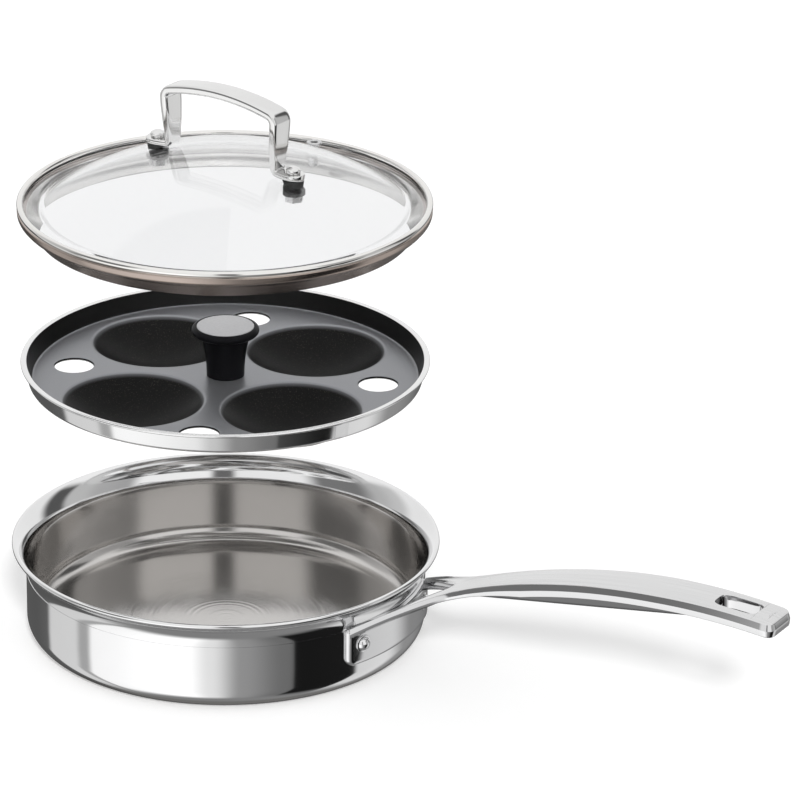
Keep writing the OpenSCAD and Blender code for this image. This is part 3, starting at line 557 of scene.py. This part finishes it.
# long fine polishing lines run with the handle, and a slow cloudiness dulls the top
streak_place = handle_paint.add("ShaderNodeCombineXYZ", None, {0: x * 12.0, 1: y * 700.0, 2: z * 60.0})
streaks = handle_paint.add("ShaderNodeTexNoise", None, {"Vector": streak_place, "Scale": 1.0, "Detail": 3.0})
cloud = faint_noise(handle_paint, 22.0)
bumps = {"Strength": 0.12, "Distance": 0.0002, "Height": streaks * satin}
handle_paint.feed(
    Base_Color=handle_paint.mix(satin, SIDE_STEEL, handle_paint.mix(streaks, TOP_DULL, TOP_BRIGHT)),
    Roughness=satin * 0.17 + 0.06 + cloud * 0.05 + satin * (streaks - 0.5) * 0.08,
    Normal=handle_paint.add("ShaderNodeBump", None, bumps),
)
handle.data.materials.append(handle_paint.owner)


# ---- Rivets ----
# Two steel rivets hold the bracket plate: a domed head over a collar outside,
# and a low round head inside the pan, fitted to the wall.
RIVET_ANGLE, RIVET_Z = 16.3, 27.0
rivet_paint = Paint(bpy.data.materials.new("rivet_steel"), Metallic=1.0)
dull = faint_noise(rivet_paint, 400.0)
rivet_paint.feed(
    Base_Color=rivet_paint.mix(dull, (0.74, 0.74, 0.75, 1), (0.84, 0.84, 0.84, 1)),
    Roughness=dull * 0.12 + 0.10,
)
rivet_profile = np.vstack([
    [(0, 99.2)], arc((4.0, 99.75), 0.55, -90, 0, 5), [(4.6, 99.9), (2.6, 100.4), (2.6, 105.2), (4.3, 105.32)],
    arc((4.25, 105.75), 0.35, -60, 90, 7), [(3.7, 106.2)], arc((0, 104.75), 3.9, 22, 90, 14),
])
for side, name in ((-1, "left"), (1, "right")):
    points, faces = turned(rivet_profile, 48)
    # the rivet's axis is laid along the wall's radius: z becomes the way out, x the height
    swing = math.radians(side * RIVET_ANGLE)
    across, up, out = points[:, 1], points[:, 0], points[:, 2]
    # the inner head bends with the round wall
    bent = out - (PAN_INNER - np.sqrt(PAN_INNER**2 - across**2))
    out = np.where(out < PAN_INNER + 1, bent, out)
    laid = np.c_[
        out * math.cos(swing) - across * math.sin(swing), out * math.sin(swing) + across * math.cos(swing), up + RIVET_Z
    ]
    rivet = finished("rivet_" + name, laid, faces, "pan", "rivet_steel", ["handle_rivet_" + name], 40)
    rivet.data.materials.append(rivet_paint.owner)


# ---- Tray ----
# One aluminium pressing that hangs in the pan by its rim. Four round-bottomed cups and four
# lift holes; dark speckled non-stick coating inside, bright polished metal on the rim and skirt.
TRAY_Z, TRAY_DEPTH, TRAY_T = 149.497, 9.6, 1.4
CUP_ORBIT, CUP_SPHERE, CUP_DEPTH, CUP_FIRST = 56.5, 50.0, 15.0, 68.5
HOLE_ORBIT, HOLE_R = 78.0, 10.0
CUP_FIELD, HOLE_FIELD, FLOOR_FIELD = 38.9, 11.6, 96.0
CUP_ROLL = 2.6
floor_z = TRAY_Z - TRAY_DEPTH


def cup_profile(sphere, roll, drop):
    """One face of a cup's sheet, drop under the floor's top: the flat floor, a rolled edge that
    touches both it and the round bottom, and the bottom's circle down to the middle."""
    middle = CUP_SPHERE - CUP_DEPTH
    reach = math.sqrt((sphere + roll) ** 2 - (middle + roll + drop) ** 2)
    lean = math.degrees(math.atan2(middle + roll + drop, -reach))
    edge = arc((reach, -roll - drop), roll, 90, lean, 9)
    low = math.degrees(math.acos((middle + roll + drop) / (sphere + roll)))
    bowl = arc((0, middle), sphere, -90 + low, -90, 26)[1:]
    bowl[-1, 0] = 0
    return np.vstack([[(CUP_FIELD, -drop)], edge, bowl])


tray_points, tray_faces, tray_coat, tray_count = [], [], [], 0


def into_tray(points, faces, coat):
    """Adds points and faces to the tray; coat is 1 where the non-stick coating lies."""
    global tray_count
    tray_points.append(points)
    tray_faces.extend((np.asarray(faces) + tray_count).tolist())
    tray_coat.append(np.broadcast_to(coat, (len(points),)))
    tray_count += len(points)


def disc_of(profile, middle, slices):
    """A profile (r, z) turned about an upright axis through middle, open at both ends."""
    angle = np.linspace(0, 2 * math.pi, slices, endpoint=False)
    x = middle[0] + np.outer(profile[:, 0], np.cos(angle))
    y = middle[1] + np.outer(profile[:, 0], np.sin(angle))
    z = np.repeat(profile[:, 1:2], slices, 1)
    return np.stack([x, y, z], -1).reshape(-1, 3), net(len(profile), slices, False, True)


def round_the_tray(orbit, first):
    """Four places a quarter turn apart on a circle round the axis, from the angle first."""
    return [orbit * np.array((math.cos(a), math.sin(a))) for a in np.radians(first + 90 * np.arange(4))]


cup_middles = round_the_tray(CUP_ORBIT, CUP_FIRST)
hole_middles = round_the_tray(HOLE_ORBIT, CUP_FIRST - 45)
CUP_SLICES, HOLE_SLICES = 144, 64
hole_profile = np.vstack([
    [(HOLE_FIELD, 0)], arc((HOLE_R + 0.6, -0.6), 0.6, 90, 180, 6),
    arc((HOLE_R + 0.5, 0.5 - TRAY_T), 0.5, 180, 270, 6), [(HOLE_FIELD, -TRAY_T)],
])
for middle in cup_middles:
    for sphere, roll, drop, coat in ((CUP_SPHERE, CUP_ROLL, 0, 1), (CUP_SPHERE + TRAY_T, CUP_ROLL - TRAY_T, TRAY_T, 0)):
        points, faces = disc_of(cup_profile(sphere, roll, drop), middle, CUP_SLICES)
        into_tray(points + (0, 0, floor_z), faces, coat)
for middle in hole_middles:
    points, faces = disc_of(hole_profile, middle, HOLE_SLICES)
    into_tray(points + (0, 0, floor_z), faces, (points[:, 2] > -1.0).astype(float))
# the flat web between the cups and holes, as triangles between their circles, for both faces of the sheet
rings, loops, first = [], [], 0
circles = [((0, 0), FLOOR_FIELD, SLICES)]
circles += [(middle, CUP_FIELD, CUP_SLICES) for middle in cup_middles]
circles += [(middle, HOLE_FIELD, HOLE_SLICES) for middle in hole_middles]
for middle, ring_r, slices in circles:
    angle = np.linspace(0, 2 * math.pi, slices, endpoint=False)
    rings.append(np.c_[middle[0] + ring_r * np.cos(angle), middle[1] + ring_r * np.sin(angle)])
    loops += [(first + i, first + (i + 1) % slices) for i in range(slices)]
    first += slices
flat = np.vstack(rings)
web = delaunay_2d_cdt([Vector(p) for p in flat], loops, [], 0, 1e-6)
web_points = np.array([tuple(p) for p in web[0]])
web_faces = np.array([f for f in web[2] if len(f) == 3])
centre = web_points[web_faces].mean(1)
keep = np.hypot(*centre.T) < FLOOR_FIELD
for middles, ring_r in ((cup_middles, CUP_FIELD), (hole_middles, HOLE_FIELD)):
    for middle in middles:
        keep &= np.hypot(*(centre - middle).T) > ring_r * 0.9995
for drop, coat in ((0, 1), (TRAY_T, 0)):
    into_tray(np.c_[web_points, np.full(len(web_points), floor_z - drop)], web_faces[keep], coat)
# wall and rim: from the floor's edge up the inside, over the rim, and down the outside
wall_in = outline([(FLOOR_FIELD, -TRAY_DEPTH, 0), (97.9, -TRAY_DEPTH, 1.3), (100.4, 0, 1.0), (102.9, 0, 0)], 7, False)
rim_edge = arc((102.7, -0.7), 0.7, 90, -90, 9)
floor_under = -TRAY_DEPTH - TRAY_T
wall_out = outline(
    [(102.4, -TRAY_T, 0), (101.75, -TRAY_T, 0.5), (99.35, floor_under, 2.4), (FLOOR_FIELD, floor_under, 0)], 8, False
)
wall_profile = np.vstack([wall_in[:-1], rim_edge, wall_out])
points, faces = disc_of(wall_profile, (0, 0), SLICES)
wall_coat = np.where(np.arange(len(wall_profile)) < len(wall_in) - 5, 1.0, 0.0)
into_tray(points + (0, 0, TRAY_Z), faces, np.repeat(wall_coat, SLICES))
tray = finished(
    "egg_tray", np.vstack(tray_points), tray_faces, "tray", "tray_coated", ["tray_insert"], 40,
    {"coated": np.concatenate(tray_coat)},
)
SPECKLES = 1500.0
CUP_BLACK, PAINTED_SHEEN_GREY, FLECK = (0.006, 0.006, 0.006, 1), (0.285, 0.29, 0.305, 1), (0.20, 0.18, 0.15, 1)
BARE_METAL = (0.84, 0.84, 0.84, 1)
tray_paint = Paint(bpy.data.materials.new("tray_coated"), IOR=1.16)
x, y, z = tray_paint.place()
coat_share = tray_paint.add("ShaderNodeAttribute", {"attribute_name": "coated"}, None, "Fac")
coated = tray_paint.step(coat_share, 0.35, 0.65)
point = tray_paint.add("ShaderNodeTexCoord", output="Object")
speckle, flecks = [
    tray_paint.add("ShaderNodeTexNoise", None, {"Vector": point, "Scale": SPECKLES, "Detail": detail})
    for detail in (2.0, 1.0)
]
glint = tray_paint.step(flecks, 0.60, 0.72)
# painted reflection: the level web between the cups is painted a lighter grey and made more metallic than the
# near-black coating in the cups, standing in for the coating's sheen
deep = tray_paint.step(z, (floor_z - 0.2) * MM, (floor_z - 2.2) * MM)
normal = tray_paint.add("ShaderNodeNewGeometry", output="Normal")
facing_up = tray_paint.add("ShaderNodeSeparateXYZ", None, {0: normal}, "Z")
low_down = tray_paint.step(z, (floor_z + 0.9) * MM, (floor_z + 0.1) * MM)
painted_sheen_web = low_down * (1 - deep) * tray_paint.step(facing_up, 0.6, 0.95)
coat_colour = tray_paint.mix(painted_sheen_web, CUP_BLACK, PAINTED_SHEEN_GREY)
coat_colour = tray_paint.mix(glint * deep * 0.10, coat_colour, FLECK)
tray_paint.feed(
    # the level web's lighter grey and added metallic are a painted reflection of the dark coating's sheen
    Base_Color=tray_paint.mix(coated, BARE_METAL, coat_colour),
    Metallic=(1 - coated) + coated * painted_sheen_web * 0.75 + glint * deep * coated * 0.15,
    Roughness=(1 - coated) * 0.07 + coated * (0.30 + speckle * 0.10),
    Normal=tray_paint.add("ShaderNodeBump", None, {"Strength": 0.35, "Distance": 0.00012, "Height": speckle * coated}),
)
tray.data.materials.append(tray_paint.owner)

# ---- Knob ----
# A moulded dark plastic lifting knob with a waisted stem and a satin metal disc let into its cap,
# held from below by a screw and washer through the tray's floor.
KNOB_H, KNOB_CAP, KNOB_DISC = 26.5, 17.1, 14.5
knob_foot = floor_z + 0.05
waist = np.linspace(0, 1, 22)[:, None]
stem = np.c_[9.6 + 2.6 * waist[:, 0] ** 2, 0.5 + (KNOB_H - 6.5) * waist[:, 0]]
flare = np.radians(np.linspace(12, 90, 10))
knob_profile = np.vstack([
    [(0, 0), (9.2, 0), (9.55, 0.15)], stem,
    np.c_[12.2 + 2.5 * (1 - np.cos(flare)), KNOB_H - 6 + 2.0 * np.sin(flare)],
    arc((KNOB_CAP - 2.2, KNOB_H - 2.2), 2.2, -80, 84, 18),
    [(KNOB_DISC + 0.25, KNOB_H - 0.02), (KNOB_DISC + 0.05, KNOB_H - 0.15)],
    [(KNOB_DISC + 0.05, KNOB_H - 0.8), (0, KNOB_H - 0.8)],
])
points, faces = turned(knob_profile, 160)
knob = finished("knob", points + (0, 0, knob_foot), faces, "tray", "knob_dark", ["knob_grip"], 40)
knob_paint = Paint(bpy.data.materials.new("knob_dark"), IOR=1.14)
grain = faint_noise(knob_paint, 1800.0)
knob_paint.feed(
    Base_Color=knob_paint.mix(faint_noise(knob_paint, 60.0), (0.004, 0.004, 0.005, 1), (0.008, 0.008, 0.009, 1)),
    Roughness=grain * 0.12 + 0.30,
    Normal=knob_paint.add("ShaderNodeBump", None, {"Strength": 0.25, "Distance": 0.00008, "Height": grain}),
)
knob.data.materials.append(knob_paint.owner)
disc_profile = np.vstack([
    [(0, 0), (KNOB_DISC - 0.1, 0)], arc((KNOB_DISC - 0.3, 0.5), 0.3, 0, 90, 5), [(KNOB_DISC - 1.2, 0.8), (0, 0.8)],
])
points, faces = turned(disc_profile, 160)
points = points + (0, 0, knob_foot + KNOB_H - 0.75)
disc = finished("knob_disc", points, faces, "tray", "knob_disc", ["knob_top_disc"], 30)
disc_paint = Paint(bpy.data.materials.new("knob_disc"), Metallic=1.0)
x, y, z = disc_paint.place()
spun = grooved(disc_paint, x, y, z, 0.0003, 0.10)
disc_paint.feed(
    Base_Color=disc_paint.mix(faint_noise(disc_paint, 900.0), (0.46, 0.46, 0.47, 1), (0.58, 0.58, 0.59, 1)),
    Roughness=faint_noise(disc_paint, 120.0) * 0.1 + 0.30,
    Normal=spun,
)
disc.data.materials.append(disc_paint.owner)
fixing_paint = Paint(bpy.data.materials.new("fixing_steel"), Metallic=1.0)
wear = faint_noise(fixing_paint, 500.0)
fixing_paint.feed(
    Base_Color=fixing_paint.mix(wear, (0.55, 0.55, 0.56, 1), (0.72, 0.72, 0.72, 1)),
    Roughness=wear * 0.15 + 0.2,
)
for node in ("knob_washer", "knob_screw", "lid_nut_left", "lid_nut_right"):
    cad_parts[node].data.materials.clear()
    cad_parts[node].data.materials.append(fixing_paint.owner)

# ---- Lid glass ----
# Clear tempered glass 4 mm thick, pressed to a dome with a flat edge all round. The two bolts
# and the steam vent pass through it. It is faintly blue-grey.
LID_Z, GLASS_T, GLASS_TOP, GLASS_R, DOME_R, DOME_H = 233.197, 4.0, -1.65, 101.0, 93.0, 26.15
sphere_r = (DOME_R**2 + DOME_H**2) / (2 * DOME_H)
sphere_z = GLASS_TOP + DOME_H - sphere_r
edge_angle = math.degrees(math.asin(DOME_R / sphere_r))
inner_flat = GLASS_TOP - GLASS_T
inner_meet = math.degrees(math.acos((inner_flat - sphere_z) / (sphere_r - GLASS_T)))
dome_out = arc((0, sphere_z), sphere_r, 90, 90 - edge_angle + 1.1, 60)
dome_out[0, 0] = 0
foot_bend = outline([
    tuple(dome_out[-1]) + (0,), (DOME_R, GLASS_TOP, 3.0), (GLASS_R, GLASS_TOP, 0.5),
    (GLASS_R, inner_flat, 0.5), (DOME_R - 3, inner_flat, 0),
], 8, False)
dome_in = arc((0, sphere_z), sphere_r - GLASS_T, 90 - inner_meet + 0.9, 90, 60)
dome_in[-1, 0] = 0
glass_profile = np.vstack([dome_out[:-1], foot_bend[:-1], dome_in])
points, faces = turned(glass_profile, 256)
glass = finished("lid_dome", points + (0, 0, LID_Z), faces, "lid", "lid_glass", ["lid_glass"], 60)
glass_paint = Paint(bpy.data.materials.new("lid_glass"), Roughness=0.0, IOR=1.45)
glass_paint.shader.inputs["Transmission Weight"].default_value = 1.0
haze = faint_noise(glass_paint, 9.0)
glass_paint.feed(Base_Color=glass_paint.mix(haze, (0.885, 0.89, 0.90, 1), (0.93, 0.932, 0.938, 1)))
glass.data.materials.append(glass_paint.owner)

# ---- Lid rim ----
# A rolled band of steel clamped over the edge of the glass: a round bead on top and a
# satin skirt that tapers in below it, coloured warm brown on its outer face.
BEAD_R, BEAD = 103.9, 1.6
SHELF_LOW, SKIRT_LOW = -6.7, -13.9
SKIRT_TOP_R, SKIRT_LOW_R, SKIRT_T = 99.9, 94.6, 1.2
rim_profile = np.vstack([
    arc((BEAD_R - BEAD, 0), BEAD, 200, -48, 22),
    outline([
        (BEAD_R - 0.75, -1.45, 0), (BEAD_R - 0.05, -1.9, 0.5), (BEAD_R - 0.15, -4.6, 2.4), (BEAD_R - 2.0, SHELF_LOW, 1.0),
        (SKIRT_TOP_R, SHELF_LOW, 0.8), (SKIRT_LOW_R, SKIRT_LOW, 0.5), (SKIRT_LOW_R - SKIRT_T, SKIRT_LOW, 0.5),
        (SKIRT_TOP_R - SKIRT_T, -5.7, 0.4), (BEAD_R - 1.9, -5.7, 0.3), (BEAD_R - 1.9, -0.8, 0),
    ], 7, False),
])
points, faces = turned(rim_profile, SLICES)
rim = finished("lid_band", points + (0, 0, LID_Z), faces, "lid", "lid_band", ["lid_rim"], 35)
rim_paint = Paint(bpy.data.materials.new("lid_band"), Metallic=1.0)
x, y, z = rim_paint.place()
on_skirt = rim_paint.step(z, (LID_Z - 1.3) * MM, (LID_Z - 1.7) * MM)
spun = grooved(rim_paint, x, y, z, 0.0004, on_skirt * 0.06)
# the skirt's outer face, the one whose normal points away from the axis, is coloured warm brown
out_from_axis = rim_paint.add("ShaderNodeCombineXYZ", None, {0: x, 1: y})
outward_part = rim_paint.dot(rim_paint.add("ShaderNodeNewGeometry", output="Normal"), out_from_axis)
brown_outer_skirt = on_skirt * rim_paint.step(outward_part, -0.02, 0.0)
rim_paint.feed(
    Base_Color=rim_paint.mix(brown_outer_skirt, (0.84, 0.83, 0.81, 1), (0.44, 0.37, 0.33, 1)),
    Roughness=on_skirt * 0.16 + 0.08,
    Normal=spun,
)
rim.data.materials.append(rim_paint.owner)

# ---- Lid handle ----
# A polished steel strap bent to an arch on two legs. Its ends turn out into flat feet,
# each bolted through the glass over a black pad.
HANDLE_TURN = math.radians(-6.1)
BOLT_X, FOOT_T, FOOT_TIP_R, FOOT_HALF, BOLT_BACK = 43.4, 3.0, 5.9, 4.3, 5.6
ARCH_TOP, STRAP_ARCH, STRAP_T, STRAP_W = LID_Z + 59.5, 130.0, 4.6, 13.0
# the foot's underside stands 1.4 mm off the dome at the edge nearer the lid's middle
FOOT_Z = LID_Z + sphere_z + math.sqrt(sphere_r**2 - (BOLT_X - BOLT_BACK) ** 2) + 1.4
arch_mid = STRAP_ARCH - STRAP_T / 2
foot_mid = FOOT_Z + FOOT_T / 2
shoulder_x = 30.0
shoulder_z = ARCH_TOP - STRAP_ARCH + math.sqrt(arch_mid**2 - shoulder_x**2)
leg_top_z = shoulder_z - 5.1 * shoulder_x / math.sqrt(arch_mid**2 - shoulder_x**2)
leg = outline([
    (BOLT_X - 1.5, foot_mid, 0), (33.2, foot_mid, 2.6), (34.0, foot_mid + 12, 0),
    (34.6, foot_mid + 21, 0), (35.1, leg_top_z, 4.4), (shoulder_x, shoulder_z, 0),
], 9, False)
tip_turn = np.linspace(0, math.pi / 2, 9)[:-1]
tip = np.c_[BOLT_X + FOOT_TIP_R * np.cos(tip_turn), np.full(len(tip_turn), foot_mid)]
shoulder_angle = 90 - math.degrees(math.asin(shoulder_x / arch_mid))
over = arc((0, ARCH_TOP - STRAP_ARCH), arch_mid, shoulder_angle, 90, 22)[1:]
half_path = np.vstack([tip, leg, over])
path = np.vstack([half_path, half_path[-2::-1] * (-1, 1)])
ahead_of = np.gradient(path, axis=0)
ahead_of /= np.linalg.norm(ahead_of, axis=1)[:, None]
thick_way = np.c_[-ahead_of[:, 1], ahead_of[:, 0]]
# the strap widens up the leg; its foot is round at the tip and narrows towards the leg
from_middle = np.abs(path[:, 0])
rise = np.clip((path[:, 1] - foot_mid) / 22.0, 0, 1)
on_foot = rise < 0.02
half_strap = FOOT_HALF + (STRAP_W / 2 - FOOT_HALF) * rise
round_tip = np.sqrt(np.maximum(FOOT_TIP_R**2 - (from_middle - BOLT_X).clip(0) ** 2, 0.0))
half_strap = np.where(on_foot, round_tip, half_strap)
narrowed = FOOT_HALF + 1.6 * np.clip((from_middle - 35.5) / 7.0, 0, 1)
half_strap = np.where(on_foot & (from_middle < BOLT_X), narrowed, half_strap)
half_thick = 1.5 + 0.8 * np.clip((path[:, 1] - foot_mid) / 8.0, 0, 1)
# the section is a squared-off ring: sign * |cos| ** power across, sign * |sin| ** (1.6 power) through
turn_round = np.linspace(0, 2 * math.pi, 40, endpoint=False)
power = 0.30
wave, rest = np.cos(turn_round), np.sin(turn_round)
section = np.c_[np.sign(wave) * np.abs(wave) ** power, np.sign(rest) * np.abs(rest) ** (power * 1.6)]
strap = np.stack([
    path[:, None, 0] + thick_way[:, None, 0] * section[None, :, 1] * half_thick[:, None],
    half_strap[:, None] * section[None, :, 0],
    path[:, None, 1] + thick_way[:, None, 1] * section[None, :, 1] * half_thick[:, None],
], -1)
lid_turn = np.array((
    (math.cos(HANDLE_TURN), math.sin(HANDLE_TURN), 0), (-math.sin(HANDLE_TURN), math.cos(HANDLE_TURN), 0), (0, 0, 1),
))
strap_points = strap.reshape(-1, 3) @ lid_turn
strap_faces = net(strap.shape[0], strap.shape[1], False, True).tolist()
lid_handle = finished("lid_strap", strap_points, strap_faces, "lid", "lid_handle_steel", ["lid_handle"], 50)
bright_paint = Paint(bpy.data.materials.new("lid_handle_steel"), Metallic=1.0)
smear = faint_noise(bright_paint, 70.0)
bright_paint.feed(
    Base_Color=bright_paint.mix(smear, (0.74, 0.735, 0.73, 1), (0.82, 0.82, 0.815, 1)),
    Roughness=smear * 0.07 + 0.04,
)
lid_handle.data.materials.append(bright_paint.owner)

# ---- Lid bolts, pads and vent ----
# Each foot has a domed bolt above, a black rubber pad under it, and a rubber seal and nut inside
# the glass. A small steel eyelet near the edge lets steam out.
rubber_paint = Paint(bpy.data.materials.new("gasket_black"), IOR=1.5)
bloom = faint_noise(rubber_paint, 700.0)
rubber_paint.feed(
    Base_Color=rubber_paint.mix(bloom, (0.010, 0.010, 0.010, 1), (0.024, 0.024, 0.024, 1)),
    Roughness=bloom * 0.2 + 0.45,
    Normal=rubber_paint.add("ShaderNodeBump", None, {"Strength": 0.3, "Distance": 0.0001, "Height": bloom}),
)
bolt_base = FOOT_Z + FOOT_T + 0.05
bolt_profile = np.vstack([
    [(0, -9.0), (2.4, -9.0), (2.4, 0), (3.4, 0)], arc((3.4, 0.3), 0.3, -60, 0, 4),
    arc((3.35, 1.75), 0.35, 0, 60, 5), arc((0, -1.75), 5.16, 44, 90, 12),
])
bolt_profile[-1, 0] = 0
PAD_T = 4.4
pad_profile = outline([(2.5, -PAD_T, 0), (5.0, -PAD_T, 0.4), (5.5, -0.1, 0.5), (2.5, -0.1, 0)], 5)
for side, name in ((-1, "left"), (1, "right")):
    spot = np.array((side * BOLT_X, 0, 0)) @ lid_turn
    points, faces = turned(bolt_profile, 56)
    points = points + spot + (0, 0, bolt_base)
    bolt = finished("bolt_" + name, points, faces, "lid", "lid_handle_steel", ["lid_bolt_" + name], 40)
    bolt.data.materials.append(bright_paint.owner)
    points, faces = turned(pad_profile, 56)
    points = points + spot + (0, 0, FOOT_Z)
    # the pad's lower face follows the dome
    dome_here = LID_Z + sphere_z + np.sqrt(sphere_r**2 - points[:, 0] ** 2 - points[:, 1] ** 2) + 0.06
    low = points[:, 2] < FOOT_Z - 2
    points[:, 2] = np.where(low, dome_here + (points[:, 2] - FOOT_Z + PAD_T) * 0.3, points[:, 2])
    pad = finished("pad_" + name, points, faces, "lid", "gasket_black", ["lid_gasket_" + name], 40)
    pad.data.materials.append(rubber_paint.owner)
    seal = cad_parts["lid_seal_" + name]
    seal.data.materials.clear()
    seal.data.materials.append(rubber_paint.owner)
VENT_ORBIT, VENT_TURN, VENT_R = 86.0, math.radians(91), 4.0
vent_top = sphere_z + math.sqrt(sphere_r**2 - (VENT_ORBIT - VENT_R) ** 2) + 0.05
vent_low = sphere_z + math.sqrt((sphere_r - GLASS_T) ** 2 - (VENT_ORBIT + VENT_R) ** 2)
VENT_BORE, VENT_NECK, VENT_PROUD = 1.8, 2.9, 1.2
vent_profile = outline([
    (VENT_BORE, vent_low - VENT_PROUD, 0.3), (VENT_NECK, vent_low - VENT_PROUD, 0.4), (VENT_NECK, vent_top, 0),
    (VENT_R, vent_top, 0.3), (VENT_R, vent_top + VENT_PROUD, 0.7), (VENT_BORE, vent_top + VENT_PROUD, 0.6),
], 6)
points, faces = turned(vent_profile, 48)
points = points + (VENT_ORBIT * math.cos(VENT_TURN), VENT_ORBIT * math.sin(VENT_TURN), LID_Z)
vent = finished("steam_eyelet", points, faces, "lid", "fixing_steel", ["steam_vent"], 40)
vent.data.materials.append(fixing_paint.owner)
